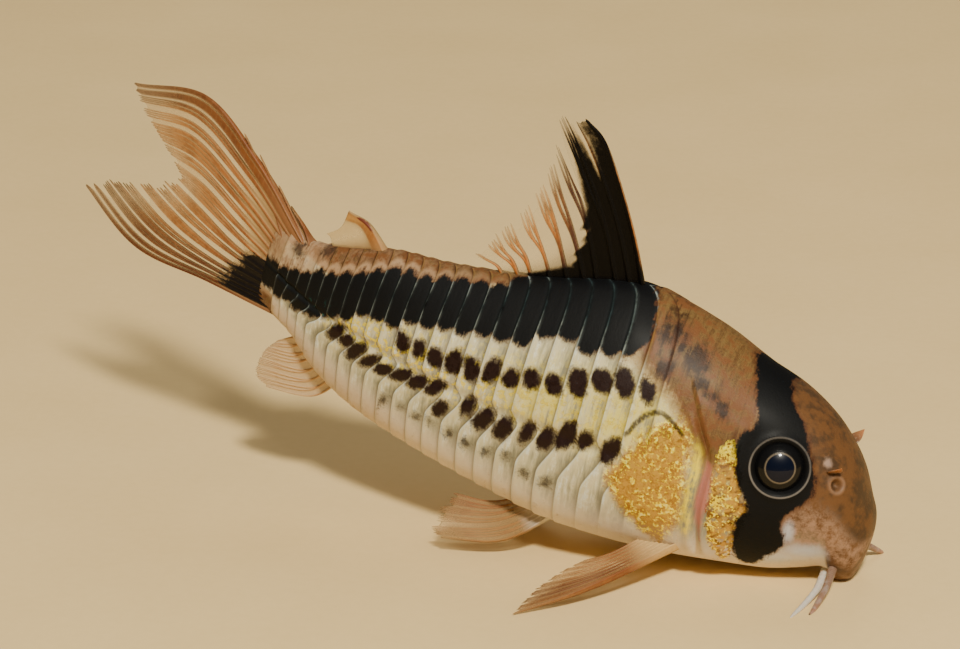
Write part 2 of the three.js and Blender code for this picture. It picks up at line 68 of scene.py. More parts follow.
# A pale warm studio floor and three lamps: a small bright one high on the right and ahead, which
# throws the shadow back under the tail, and wide dim ones ahead of the fish and behind it.
FLOOR_REACH = 1.6
floor_form = bmesh.new()
bmesh.ops.create_grid(floor_form, x_segments=8, y_segments=8, size=FLOOR_REACH)
floor_mesh = bpy.data.meshes.new("floor")
floor_form.to_mesh(floor_mesh)
floor_form.free()
floor = bpy.data.objects.new("floor", floor_mesh)
bpy.context.scene.collection.objects.link(floor)


class Mask:
    """A number that changes over a surface. Sums on it add Math nodes to its finish."""

    def __init__(self, finish, socket):
        self.finish = finish
        self.socket = socket

    def sum(self, operation, first, second):
        return self.finish.node("ShaderNodeMath", {"operation": operation}, {0: first, 1: second})

    def __add__(self, other):
        return self.sum("ADD", self, other)

    __radd__ = __add__

    def __sub__(self, other):
        return self.sum("SUBTRACT", self, other)

    def __rsub__(self, other):
        return self.sum("SUBTRACT", other, self)

    def __mul__(self, other):
        return self.sum("MULTIPLY", self, other)

    __rmul__ = __mul__

    def fract(self):
        return self.sum("FRACT", self, 0)

    def step(self, low, high):
        """Rises smoothly from 0 at low to 1 at high."""
        settings = {"interpolation_type": "SMOOTHSTEP", "clamp": True}
        return self.finish.node("ShaderNodeMapRange", settings, {0: self, 1: low, 2: high})


class Finish:
    """A material: a Principled shader, and the nodes that feed it."""

    def __init__(self, name, **values):
        self.material = bpy.data.materials.new(name)
        self.material.use_nodes = True
        self.nodes = self.material.node_tree.nodes
        self.links = self.material.node_tree.links
        self.shader = self.nodes["Principled BSDF"]
        for socket, value in values.items():
            self.shader.inputs[socket.replace("_", " ")].default_value = value
        metres = self.node("ShaderNodeTexCoord", {}, {}, "Object")
        to_mm = {0: metres, 3: 1 / MM}
        self.place = self.node("ShaderNodeVectorMath", {"operation": "SCALE"}, to_mm)

    def node(self, kind, settings, inputs, output=0):
        made = self.nodes.new(kind)
        for setting, value in settings.items():
            setattr(made, setting, value)
        for socket, value in inputs.items():
            self.put(made.inputs[socket], value)
        return Mask(self, made.outputs[output])

    def put(self, socket, value):
        if isinstance(value, Mask):
            self.links.new(value.socket, socket)
        elif isinstance(value, tuple):
            socket.default_value = (*value, 1) if len(socket.default_value) == 4 else value
        else:
            socket.default_value = value

    def paint(self, tone, *layers):
        """The tone with layers painted over it in turn, each a colour and its mask."""
        for over, mask in zip(layers[::2], layers[1::2]):
            tone = self.node("ShaderNodeMix", {"data_type": "RGBA"}, {0: mask, 6: tone, 7: over}, 2)
        return tone

    def noise(self, size, detail=2.0, rough=0.5, place=None):
        """Soft noise from 0 to 1 with features about size millimetres across."""
        values = {"Vector": place or self.place, "Scale": 1 / size}
        values |= {"Detail": detail, "Roughness": rough}
        return self.node("ShaderNodeTexNoise", {}, values, "Fac")

    def cells(self, size):
        """Cells about size millimetres across, each with a tone of its own."""
        values = {"Vector": self.place, "Scale": 1 / size}
        return self.node("ShaderNodeTexVoronoi", {}, values, "Color")

    def distance(self, point):
        """The distance from a point, in millimetres."""
        ends = {0: self.place, 1: tuple(point)}
        return self.node("ShaderNodeVectorMath", {"operation": "DISTANCE"}, ends, "Value")

    def mark(self, name):
        """A value stored at the points of the mesh."""
        return self.node("ShaderNodeAttribute", {"attribute_name": name}, {}, "Fac")

    def bump(self, height, depth, under=None):
        """A bump that stands up to depth millimetres, over another bump if one is given."""
        values = {"Height": height, "Distance": depth * MM, "Strength": 1.0}
        if under is not None:
            values["Normal"] = under
        return self.node("ShaderNodeBump", {}, values, "Normal")

    def set(self, **values):
        for socket, value in values.items():
            self.put(self.shader.inputs[socket.replace("_", " ")], value)


FLOOR_TONES = (0.72, 0.51, 0.215), (0.84, 0.61, 0.285)
floor_finish = Finish("studio_floor", Roughness=0.85)
floor_grain = floor_finish.noise(14, 3) * 0.7 + floor_finish.noise(0.8, 1) * 0.3
floor_finish.set(Base_Color=floor_finish.paint(*FLOOR_TONES, floor_grain))
floor_mesh.materials.append(floor_finish.material)


LAMP_AIM = Vector((0, 0, 0.01))


def lamp(name, azimuth, elevation, distance, size, power, colour, glare=True):
    """An area lamp aimed at the middle of the fish, that may leave no glare on what it lights."""
    light = bpy.data.objects.new(name, bpy.data.lights.new(name, "AREA"))
    light.data.size = size
    light.data.energy = power
    light.data.color = colour
    turn, rise = math.radians(azimuth), math.radians(elevation)
    level = distance * math.cos(rise)
    away = Vector((level * math.sin(turn), -level * math.cos(turn), distance * math.sin(rise)))
    light.location = away + LAMP_AIM
    light.rotation_euler = away.to_track_quat("Z", "Y").to_euler()
    light.visible_glossy = glare
    bpy.context.scene.collection.objects.link(light)


lamp("key_lamp", 27, 46, 0.55, 0.06, 4.4, (1.0, 0.95, 0.81))
lamp("fill_lamp", 80, 35, 0.6, 0.4, 0.7, (1.0, 0.96, 0.9), False)
lamp("back_lamp", 190, 50, 0.6, 0.3, 0.9, (1.0, 0.95, 0.88), False)
world = bpy.data.worlds.new("studio")
bpy.context.scene.world = world
world.use_nodes = True
sky = world.node_tree.nodes["Background"].inputs
sky["Color"].default_value = (1.0, 0.95, 0.85, 1)
sky["Strength"].default_value = 0.11

# The skin: one hide over the head's bone, the gill covers, the shoulders and two rows of bony
# plates down each side to the tail fin. It is first shaped on a straight fish, with station s
# back along it, y to its left and h up, in millimetres, and then bent along the spine.
SNOUT = 0.6
SNOUT_LEVEL = 4.5
SNOUT_END = 10
STALK_END = 46
CAUDAL_REACH = 17
HEAD_DOWN = math.radians(11.5)
BEND_FROM = 18
TAIL_SWING = math.radians(18)
TAIL_RISE = math.radians(4)
SWING_POWER = 1.25
FIN_SWING = math.radians(12)
FIN_RISE = math.radians(6)
SPINE_START = np.array([29.98, -0.03, -1.24])
SPINE_STEP = 0.25
SPINE_LENGTH = 72


def hermite(t, start, end, leave, arrive):
    """The curve from start to end that leaves and arrives at the given slopes, at t from 0 to 1."""
    between = (2 * t**3 - 3 * t**2 + 1) * start + (3 * t**2 - 2 * t**3) * end
    return between + (t**3 - 2 * t**2 + t) * leave + (t**3 - t**2) * arrive


def smooth_line(pairs):
    """A smooth line through (x, value) pairs, held level past its ends."""
    x, y = np.array(pairs, float).T
    slope = np.gradient(y, x)
    slope[1:-1] = (y[2:] - y[:-2]) / (x[2:] - x[:-2])

    def at(value):
        value = np.clip(value, x[0], x[-1])
        i = np.clip(np.searchsorted(x, value, "right") - 1, 0, len(x) - 2)
        w = x[i + 1] - x[i]
        return hermite((value - x[i]) / w, y[i], y[i + 1], w * slope[i], w * slope[i + 1])

    return at


def ramp(value, low, high):
    """Rises smoothly from 0 at low to 1 at high."""
    t = np.clip((value - low) / (high - low), 0, 1)
    return t * t * (3 - 2 * t)


def within(value, rise, fall):
    """1 between two borders, each given as the values where it starts and ends, and 0 outside."""
    return ramp(value, *rise) * (1 - ramp(value, *fall))


def blend(a, b, t):
    return a + (b - a) * t


def spine_axes(s):
    along = np.clip((s - BEND_FROM) / (STALK_END - BEND_FROM), 0, 1)
    past = np.maximum(0, (s - STALK_END) / CAUDAL_REACH)
    swing = TAIL_SWING * along**SWING_POWER + FIN_SWING * past
    pitch = HEAD_DOWN + TAIL_RISE * along + FIN_RISE * past
    ahead = np.stack(
        [np.cos(swing) * np.cos(pitch), -np.sin(swing) * np.cos(pitch), -np.sin(pitch)], -1
    )
    left = np.stack([np.sin(swing), np.cos(swing), 0 * swing], -1)
    return ahead, left, np.cross(ahead, left)


spine_middles = np.arange(SPINE_STEP / 2, SPINE_LENGTH, SPINE_STEP)
spine_run = -SPINE_STEP * spine_axes(spine_middles)[0]
spine_points = SPINE_START + np.concatenate([np.zeros((1, 3)), np.cumsum(spine_run, 0)])


def bend(straight):
    """Takes (s, y, h) points of the straight fish to their places on the floor, in millimetres."""
    s, y, h = straight[..., 0], straight[..., 1:2], straight[..., 2:3]
    left, up = spine_axes(np.maximum(s, 0))[1:]
    steps = s / SPINE_STEP
    i = np.clip(np.floor(steps).astype(int), 0, len(spine_points) - 2)
    part = (steps - i)[..., None]
    return blend(spine_points[i], spine_points[i + 1], part) + left * y + up * h


snout_top = smooth_line([
    (0, 4.7), (0.5, 6.1), (0.9, 7.2), (1.3, 8.9), (1.7, 10.4), (2.1, 11.8), (2.6, 13.2),
    (3.07, 14.2),
])
snout_bottom = smooth_line([
    (0, 4.2), (0.4, 2.6), (0.75, 1.2), (1, 0.9), (1.25, 1.0), (1.6, 1.5), (2, 1.0), (2.5, 0.3),
    (3.07, -0.1),
])
snout_width = smooth_line([
    (0, 0.3), (0.5, 1.8), (0.9, 2.6), (1.4, 3.5), (2, 4.3), (2.6, 4.95), (3.07, 5.4),
])
back_line = smooth_line([
    (8, 13.4), (10, 14.2), (14, 16.0), (18.6, 17.2), (22, 16.9), (26, 15.8), (29.5, 14.9),
    (34, 14.0), (38, 13.4), (42, 12.0), (44.6, 11.3), (46, 11.4),
])
belly_line = smooth_line([
    (8, 0.1), (10, -0.1), (14, -0.5), (18, -0.7), (22, -0.65), (27, -0.2), (33, 0.4), (38, 1.1),
    (41.5, 2.3), (44, 3.9), (46, 4.6),
])
girth_line = smooth_line([
    (8, 5.1), (10, 5.4), (13, 5.9), (17, 6.1), (21, 5.8), (26, 4.9), (31, 3.9), (36, 2.9),
    (41, 1.9), (46, 0.9),
])
sag_line = smooth_line([(0, 1), (6, 1.1), (12, 1.25), (20, 1.35), (32, 1.2), (46, 1)])
ridge_line = smooth_line([(0, 1), (7, 0.85), (12, 1), (18, 1.2), (30, 1.2), (46, 1)])
STALK_TAPER = 1.8


def over_body(s, snout_form, body_form):
    return np.where(s < SNOUT_END, snout_form(np.sqrt(np.maximum(s - SNOUT, 0))), body_form(s))


def skin(s, turn):
    """A point of the plain skin: turn is 0 on the back, pi on the belly, negative on the right."""
    top = over_body(s, snout_top, back_line)
    bottom = over_body(s, snout_bottom, belly_line)
    past = np.clip((s - STALK_END) / STALK_TAPER, 0, 1)
    width = over_body(s, snout_width, girth_line) * (1 - 0.75 * past)
    up = ((1 + np.cos(turn)) / 2) ** sag_line(s)
    sharp = 1 + (ridge_line(s) - 1) * np.maximum(0, np.cos(turn))
    out = np.sign(np.sin(turn)) * np.abs(np.sin(turn)) ** sharp
    return np.stack([s, width * out, blend(bottom, top, up)], -1)


NUDGE = 0.03


def skin_spot(s, turn):
    return skin(np.array(float(s)), np.array(float(turn)))


def outward(s, turn):
    along_s = skin(s + NUDGE, turn) - skin(np.maximum(s - NUDGE, SNOUT), turn)
    along_turn = skin(s, turn + NUDGE) - skin(s, turn - NUDGE)
    across = np.cross(along_s, along_turn)
    return across / np.linalg.norm(across, axis=-1, keepdims=True)


def on_skin(s, turn, stand=0.0):
    """A frame on the skin, z outward and x towards the tail, for what sits on it."""
    s, turn = np.array(float(s)), np.array(float(turn))
    at = bend(skin(s, turn) + stand * outward(s, turn))
    out = bend(skin(s, turn) + (stand + 1) * outward(s, turn)) - at
    out /= np.linalg.norm(out)
    back = bend(skin(s + 1, turn) + stand * outward(s + 1, turn)) - at
    side = np.cross(out, back)
    side /= np.linalg.norm(side)
    axes = Matrix([np.cross(side, out), side, out]).transposed().to_4x4()
    return Matrix.Translation(at) @ axes


# The rows of the skin's net follow the edges of the gill covers and of every plate
HEAD_LENGTH = 11
PLATES = 23
PLATE_SHRINK = 0.44
ROW_SHIFT = 0.7
ROW_SWEEP = 1.1
SEAM = math.radians(84)
SEAM_HALF = 0.05
SWEEP_REACH = 0.38
SWEEP_FADE = 4
gill_edge = smooth_line([
    (0, 15.4), (0.7, 14.6), (1.05, 12.9), (1.25, 11.9), (1.75, 11.75), (2.3, 11.2), (3.1, 10.4),
])
first_plate = smooth_line([(0, 17.8), (0.3, 16.6), (0.7, 16.1), (3.1, 16.3)])
plate_shares = np.cumsum([0] + [1 - PLATE_SHRINK * k / (PLATES - 1) for k in range(PLATES)])
plate_shares /= plate_shares[-1]


def plate_line(k, turn):
    level = blend(first_plate(turn), STALK_END, plate_shares[k])
    shift = ROW_SHIFT * ramp(turn, SEAM - SEAM_HALF, SEAM + SEAM_HALF)
    sweep = ROW_SWEEP * ramp(turn, SEAM, SEAM + SWEEP_REACH) - shift
    return level + sweep * np.clip((STALK_END - level) / SWEEP_FADE, 0, 1)


HEAD_ROWS = 130
SHOULDER_ROWS = 28
PLATE_ROWS = np.array([0, 0.1, 0.22, 0.36, 0.5, 0.64, 0.78, 0.88, 0.95])
END_ROWS = 8
ROUND = 248
FIRST_PLATE_ROW = HEAD_ROWS + SHOULDER_ROWS
END_ROW = FIRST_PLATE_ROW + PLATES * len(PLATE_ROWS)
SKIN_ROWS = END_ROW + END_ROWS


def station(row, turn):
    """The station of a row of the net, the plate that it is on and how far back in that plate."""
    turn = np.abs(turn)
    u = (np.clip(row, 0, HEAD_ROWS) / HEAD_ROWS) ** 2
    follow = ramp(u, 0.1, 0.8)
    head = SNOUT + u * blend(HEAD_LENGTH, gill_edge(turn) - SNOUT, follow)
    t = np.clip((row - HEAD_ROWS) / SHOULDER_ROWS, 0, 1)
    shoulder = blend(gill_edge(turn), plate_line(0, turn), t)
    past = np.clip(row - FIRST_PLATE_ROW, 0, PLATES * len(PLATE_ROWS) - 1)
    plate = past // len(PLATE_ROWS)
    part = PLATE_ROWS[past % len(PLATE_ROWS)]
    plated = blend(plate_line(plate, turn), plate_line(plate + 1, turn), part)
    ending = STALK_END + STALK_TAPER * (row - END_ROW) / END_ROWS
    places = [head, shoulder, plated]
    s = np.select([row < HEAD_ROWS, row < FIRST_PLATE_ROW, row < END_ROW], places, ending)
    on_plate = (row >= FIRST_PLATE_ROW) & (row < END_ROW)
    return s, np.where(on_plate, plate, -1), np.where(on_plate, part, 0.5)


# What stands out of the skin or is let into it: the plates' edges, the gill covers and their
# openings, the eyes' sockets and rims, the lips and the nostril pits
PLATE_STAND = 0.17
LOW_EDGE = 0.25
PLATES_TOP = (0.02, 0.3)
PLATES_LOW = (2.5, 2.85)
SEAM_DEPTH = 0.05
SMOOTH_BELLY = (1.75, 2.2)
SMOOTH_BELLY_END = (18, 23)
COVER_STAND = 0.25
COVER_FRONT = (8.9, 10.1)
COVER_TOP = (0.7, 0.91)
COVER_LOW = (2.3, 2.5)
OPENING_DEPTH = 0.34
OPENING_AT = 0.06
OPENING_WIDTH = 0.17
OPENING_TOP = (0.95, 1.12)
OPENING_LOW = (2.35, 2.5)
SHOULDER_RIM = 0.16
SHOULDER_RIM_AT = 0.62
SHOULDER_RIM_WIDTH = 0.34
EYE_STATION = 7.2
EYE_TURN = math.radians(64)
EYE_RADIUS = 1.75
EYE_FLAT = 0.62
EYE_SINK = 0.75
SOCKET_DEPTH = 0.62
SOCKET_EDGE = (1.42, 1.9)
RIM = 2.03
RIM_WIDTH = 0.24
RIM_STAND = 0.09
NOSTRIL_TURN = math.radians(52)
NOSTRIL_STATION = 3.4
PIT_DEPTH = 0.42
PIT_WIDTH = 0.36
PIT_RIM = 0.55
PIT_RIM_WIDTH = 0.16
PIT_RIM_STAND = 0.12
MOUTH_HALF = 1.3
UPPER_LIP = (1.75, 0.75, 0.3, 0.22)
LOWER_LIP = (2.6, 0.35, 0.26, 0.2)
MOUTH_SLOT = (2.2, 0.55, 0.17, -0.45)


def bell(value, width):
    return np.exp(-((value / width) ** 2))


def from_line(points, line):
    """The distance of each point from the nearest point of a line of points."""
    return np.min(np.linalg.norm(points[:, None] - line[None], axis=2), axis=1)


def mouth_line(start, curve):
    across = np.linspace(-1, 1, 41)
    s = start + curve * across**2
    width = over_body(s, snout_width, girth_line)
    turn = np.pi - np.arcsin(np.clip(across * MOUTH_HALF / width, -1, 1))
    return skin(s, turn)


def front_belly(s, t):
    """1 under the front of the belly, where the skin is smooth and has no plates."""
    return ramp(t, *SMOOTH_BELLY) * (1 - ramp(s, *SMOOTH_BELLY_END))


def relief(s, turn, plate, part, gill):
    """How far each point stands out of the plain skin, in millimetres."""
    side, t = np.sign(turn + 1e-9), np.abs(turn)
    beside_seam = ramp(np.abs(t - SEAM), 0.01, 0.07)
    spread = beside_seam * within(t, PLATES_TOP, PLATES_LOW) * (1 - front_belly(s, t))
    rise = (LOW_EDGE + (1 - LOW_EDGE) * part) * (1 - 0.4 * ramp(part, 0.86, 1.0))
    rise = np.where((plate == 0) & (t > SEAM), rise * ramp(part, 0, 1), rise)
    raise_by = np.where(plate >= 0, PLATE_STAND * rise * spread, 0)
    shoulder = (plate < 0) & (gill > 0) & (s < STALK_END)
    upper = ramp(gill, 1.5, 4.2) * PLATE_STAND * spread * (t < SEAM)
    raise_by += np.where(shoulder, upper, 0)
    raise_by -= SEAM_DEPTH * (1 - beside_seam) * ramp(s, 16, 18)
    cover = within(t, COVER_TOP, COVER_LOW) * ramp(s, *COVER_FRONT)
    raise_by += np.where(gill < 0, COVER_STAND * cover * (1 - ramp(gill, -0.22, 0)), 0)
    opening = within(t, OPENING_TOP, OPENING_LOW)
    raise_by -= OPENING_DEPTH * bell(gill - OPENING_AT, OPENING_WIDTH) * opening
    raise_by += SHOULDER_RIM * bell(gill - SHOULDER_RIM_AT, SHOULDER_RIM_WIDTH) * opening
    points = skin(s, turn)
    for way in (-1, 1):
        near = side == way
        away = np.linalg.norm(points - skin_spot(EYE_STATION, way * EYE_TURN), axis=1)
        socket = SOCKET_DEPTH * (1 - ramp(away, *SOCKET_EDGE))
        socket = RIM_STAND * bell(away - RIM, RIM_WIDTH) - socket
        raise_by += np.where(near & (away < 4), socket, 0)
        away = np.linalg.norm(points - skin_spot(NOSTRIL_STATION, way * NOSTRIL_TURN), axis=1)
        pit = PIT_RIM_STAND * bell(away - PIT_RIM, PIT_RIM_WIDTH)
        pit -= PIT_DEPTH * bell(away, PIT_WIDTH)
        raise_by += np.where(near, pit, 0)
    low = (s < 5) & (t > 1.9)
    for start, curve, width, stand in (UPPER_LIP, LOWER_LIP, MOUTH_SLOT):
        away = from_line(points[low], mouth_line(start, curve))
        raise_by[low] += stand * bell(away, width)
    return raise_by


# The markings, each kept at the net's points as a distance in millimetres that the finish turns
# into paint: the black band along the upper plates, the mask through the eye, a spot on each
# plate in three rows, the gold on the gill cover and shoulder, and the copper of the back.
band_top = smooth_line([
    (25.5, -25), (28.8, 12), (31.9, 19), (34.9, 25), (38, 31), (40.1, 40), (42.4, 46), (45.7, 70),
    (47, 76),
])
band_low = smooth_line([
    (17.8, 36), (19.5, 48), (24, 49), (28.8, 54), (33.9, 62), (35.8, 66), (38.7, 74), (41.2, 88),
    (45.7, 110), (47, 114),
])
band_front = smooth_line([(0, 18.9), (20, 18.2), (35, 17.8), (45, 18.3), (55, 19.5)])
mask_front = smooth_line([
    (0, 8.4), (22, 7.6), (31, 6.5), (49, 5.5), (65, 4.7), (80, 5.2), (96, 6.3), (112, 5.8),
    (127, 6.8), (140, 7.6),
])
mask_rear = smooth_line([
    (0, 11.1), (31, 10.1), (48, 9.5), (57, 10.4), (77, 9.7), (92, 8.6), (101, 9.2), (130, 8.8),
    (140, 8.2),
])
gold_front = smooth_line([(62, 14), (66, 13.4), (85, 12.9), (108, 12.9), (129, 13.9)])
gold_rear = smooth_line([
    (62, 14), (65, 15.4), (76, 16.6), (93, 18.2), (100, 17.8), (115, 16), (129, 13.8),
])
strip_front = smooth_line([(58, 10.2), (80, 9.4), (92, 8.5), (110, 8.7), (135, 9.2)])
strip_rear = smooth_line([(58, 10.4), (67, 11.3), (90, 11.2), (113, 10.8), (135, 9.8)])
arc_line = smooth_line([(13.9, 67), (15, 63), (15.8, 62), (16.7, 66), (17.6, 75)])
NAPE_MARKS = [
    (17.0, 29, 0.28, 1.0), (16.3, 28, 0.2, 1.3), (16.3, 45, 0.42, 0.6), (14.4, 34, 0.6, 0.8),
    (11.9, 49, 0.42, 0.4), (12.9, 46, 0.5, 0.25), (15.6, 30, 0.25, 0.7), (13.6, 43, 0.5, 0.3),
]
copper_low = smooth_line([
    (26, 8), (28.8, 17), (31.9, 24), (34.9, 30), (38, 36), (40, 43), (41.5, 46), (43, 40),
    (44.5, 32), (47, 32),
])
JAW_PATCHES = [(4.4, 119, 1.7, 0.75), (5.7, 104, 0.5, 1.1), (6.8, 130, 2.6, 0.9)]
nape_low = smooth_line([(9, 76), (12, 78), (13.5, 68), (15, 58), (17, 52), (18.5, 46)])
STALK_MARKS = [(42.6, 20, 0.35, 0.45), (44.9, 36, 0.4, 0.4)]

# Each row of spots: its first and last plate, the turn at which it runs, the half height and half
# length of a spot in millimetres, and how far it leans back as it goes down
SPOT_ROWS = [
    (0, 12, [(0, 55), (2, 59), (4, 65), (6, 68), (9, 70), (12, 73)], 0.78, 0.68, -0.1),
    (1, 9, [(1, 82), (3, 85), (5, 87), (7, 92), (8, 88), (9, 98)], 0.86, 0.64, 0.2),
    (10, 17, [(10, 88), (12, 92), (15, 93), (17, 90)], 0.82, 0.72, 0.75),
]
FAINT_ROW = (3, 12, [(3, 110), (5, 105), (8, 108), (10, 108), (12, 113)], 0.42, 0.4, 0.2)
SPOT_SHRINK = 0.35
SPOT_ROUND = 2.3


def spot_field(row, random, s, turn_deg, arc):
    """How far inside the nearest spot of a row a point is, in millimetres."""
    first, last, line, half_height, half_length, lean = row
    turn_line = smooth_line(line)
    field = np.full(len(s), -1.0)
    for k in range(first, last + 1):
        middle = turn_line(k) + random.uniform(-2, 2)
        edges = [plate_line(k + step, math.radians(middle)) for step in (0, 1)]
        at = blend(*edges, 0.47 + random.uniform(-0.07, 0.07))
        size = random.uniform(0.82, 1.1) * (1 - SPOT_SHRINK * k / PLATES)
        tall = random.uniform(0.85, 1.35)
        down = (turn_deg - middle) * arc
        back = s - at - (lean + random.uniform(-0.2, 0.2)) * down
        high, long = down / (half_height * size * tall), back / (half_length * size)
        away = (np.abs(high) ** SPOT_ROUND + np.abs(long) ** SPOT_ROUND) ** (1 / SPOT_ROUND)
        field = np.maximum(field, (1 - away) * half_length * size)
    return field


ROUND_SHARE = 0.11
MASK_END = 141
GOLD_TOP = 62
GOLD_END = 129
STRIP_TOP = 60
STRIP_END = 136
OUTLINE_START = 13.8
OUTLINE_END = 17.7
OUTLINE_HALF = 0.17
SLIT_TOP = 74
SLIT_MIDDLE = 91
SLIT_END = 118
MARK_SEED = 11


def least(*fields):
    """How far inside all of some borders a point is, given how far inside each one it is."""
    return np.minimum.reduce(fields)


def markings(s, turn, plate, part, gill, arc):
    """The marks of the net's points. arc is the length of a degree of turn, in millimetres."""
    side = (turn > 0).astype(int)
    t = np.degrees(np.abs(turn))
    random = np.random.default_rng(MARK_SEED)
    top_shift, low_shift = random.uniform(-3, 3, (2, 2, PLATES + 1))
    finger = np.abs(part - 0.45) * 2
    top = band_top(s) + top_shift[side, plate] + 6 * finger**1.5
    low = band_low(s) + low_shift[side, plate] * 0.8 - 3.5 * finger**2
    band = least((t - top) * arc, (low - t) * arc, (s - band_front(t)) * 0.9)
    mask = least(s - mask_front(t), mask_rear(t) - s, (MASK_END - t) * arc)
    spots = np.full(len(s), -1.0)
    faint = np.full(len(s), -1.0)
    for way in (0, 1):
        for row in SPOT_ROWS:
            field = spot_field(row, random, s, t, arc)
            spots = np.where(side == way, np.maximum(spots, field), spots)
        field = spot_field(FAINT_ROW, random, s, t, arc)
        faint = np.where(side == way, field, faint)
    for at, at_turn, long, high in NAPE_MARKS + STALK_MARKS:
        away = np.hypot((s - at) / long, (t - at_turn) * arc / high)
        faint = np.maximum(faint, (1.3 - away) * min(long, high))
    gold = least(s - gold_front(t), gold_rear(t) - s, (GOLD_END - t) * arc, (t - GOLD_TOP) * arc)
    strip = least(s - strip_front(t), strip_rear(t) - s)
    strip = least(strip, (STRIP_END - t) * arc, (t - STRIP_TOP) * arc)
    slope = (arc_line(s + 0.1) - arc_line(s - 0.1)) / 0.2 * arc
    outline = OUTLINE_HALF - np.abs(t - arc_line(s)) * arc / np.hypot(1, slope)
    outline = least(outline, s - OUTLINE_START, OUTLINE_END - s)
    slit = 0.05 + 0.36 * bell(t - SLIT_MIDDLE, 15) - np.abs(gill + 0.12)
    slit = least(slit, (t - SLIT_TOP) * arc, (SLIT_END - t) * arc)
    back = (1 - ramp(t - copper_low(s), -4, 6)) * ramp(s, 25.5, 27)
    nape = (1 - ramp(t - nape_low(s), -14, 8)) * within(s, (8.5, 10.5), (19.2, 20.5))
    fin_root = ramp(s, 45.4, 46.8) * np.maximum(1 - ramp(t, 56, 74), ramp(t, 112, 126))
    copper = np.clip(np.maximum.reduce([back, nape, fin_root]), 0, 1)
    ahead = ramp(mask_front(t) + 1.2 - s, 0, 0.8)
    front = 1 - ramp(s, 2.3, 3.3)
    snout = ahead * (1 - ramp(t - 72 * front, 92, 122))
    cheek = ahead * within(t, (66, 92), (112, 130))
    cheek = np.maximum(cheek, 0.7 * front * ramp(t, 110, 150))
    belly = ramp(t, 104, 132)
    stub = ramp(s, 41.8, 43.6) * (1 - ramp(t, 88, 96))
    jaw = np.full(len(s), -1.0)
    for at, at_turn, long, high in JAW_PATCHES:
        jaw = np.maximum(jaw, 1 - np.hypot((s - at) / long, (t - at_turn) * arc / high))
    shoulder = bell(gill - 0.72, SHOULDER_RIM_WIDTH) * within(t, (64, 74), (108, 124))
    sheen = bell(t - (69 + 0.5 * (s - 17)), 14) * within(s, (12.5, 15), (39.5, 42))
    teal = bell(s - 41, 1.1) * bell(t - 81, 5)
    # A painted highlight along each plate's raised rear edge, left off at the seam between the two
    # rows
    edge = np.where(plate >= 0, ramp(part, 0.86, 0.95), 0) * (1 - bell(np.abs(turn) - SEAM, 0.05))
    # Painted shade in the hollow at the front of each plate, under the raised edge of the plate
    # ahead, and in the seam between the two rows
    groove = np.where(plate >= 0, 1 - ramp(part, 0.0, 0.16), 0)
    groove = np.maximum(groove, bell(np.abs(turn) - SEAM, 0.03) * (s > 18))
    plated = 1 - front_belly(s, np.abs(turn))
    return {
        "band": band, "mask": mask, "spots": spots, "faint": faint, "gold": gold, "strip": strip,
        "outline": outline, "slit": slit, "copper": copper, "snout": snout, "cheek": cheek,
        "belly": belly, "sheen": sheen, "edge": edge * plated, "groove": groove * plated,
        "stub": stub, "jaw": jaw, "shoulder": shoulder, "teal": teal, "tail": ramp(s, 26, 40),
        "station": s, "round": t * ROUND_SHARE, "yellow": within(s, (12, 16), (22, 30)),
        "part": np.where(plate >= 0, part, 0.6 * ramp(s, 12, 14)),
    }


def make_piece(name, form):
    """The form as a piece of the scene, with smooth faces that point outwards."""
    bmesh.ops.recalc_face_normals(form, faces=form.faces)
    for face in form.faces:
        face.smooth = True
    mesh = bpy.data.meshes.new(name)
    form.to_mesh(mesh)
    form.free()
    piece = bpy.data.objects.new(name, mesh)
    bpy.context.scene.collection.objects.link(piece)
    return piece


def net(name, across, along, place, weld=2e-8):
    """A fine net of quads whose points go where place says, with the points that meet welded."""
    form = bmesh.new()
    bmesh.ops.create_grid(form, x_segments=across, y_segments=along, size=1)
    flat = np.array([v.co for v in form.verts])
    low, high = flat.min(0), flat.max(0)
    column = np.rint((flat[:, 0] - low[0]) / (high[0] - low[0]) * across).astype(int)
    row = np.rint((flat[:, 1] - low[1]) / (high[1] - low[1]) * along).astype(int)
    points, marks = place(column, row)
    for vert, point in zip(form.verts, points * MM):
        vert.co = point
    for mark, values in marks.items():
        layer = form.verts.layers.float.new(mark)
        for vert, value in zip(form.verts, values):
            vert[layer] = value
    bmesh.ops.remove_doubles(form, verts=form.verts, dist=weld)
    return make_piece(name, form)


FLOOR_GAP = 0.01


def on_floor(straight):
    """Points of the straight fish in their places, with none of them under the floor."""
    points = bend(straight)
    points[:, 2] = np.maximum(points[:, 2], FLOOR_GAP)
    return points


def skin_points(column, row):
    turn = np.pi * (2 * column / ROUND - 1)
    s, plate, part = station(row, turn)
    gill = s - gill_edge(np.abs(turn))
    arc = np.linalg.norm(skin(s, turn + NUDGE) - skin(s, turn - NUDGE), axis=1)
    arc = arc / math.degrees(2 * NUDGE)
    raise_by = relief(s, turn, plate, part, gill) * np.minimum(ramp(s, SNOUT, 1.2), 1)
    straight = skin(s, turn) + raise_by[:, None] * outward(s, turn)
    middle = (back_line(STALK_END) + belly_line(STALK_END)) / 2
    straight[row == 0] = (SNOUT, 0, SNOUT_LEVEL)
    straight[row == SKIN_ROWS] = (STALK_END + STALK_TAPER, 0, middle)
    return on_floor(straight), markings(s, turn, plate, part, gill, arc)


hide = net("skin", ROUND, SKIN_ROWS, skin_points)

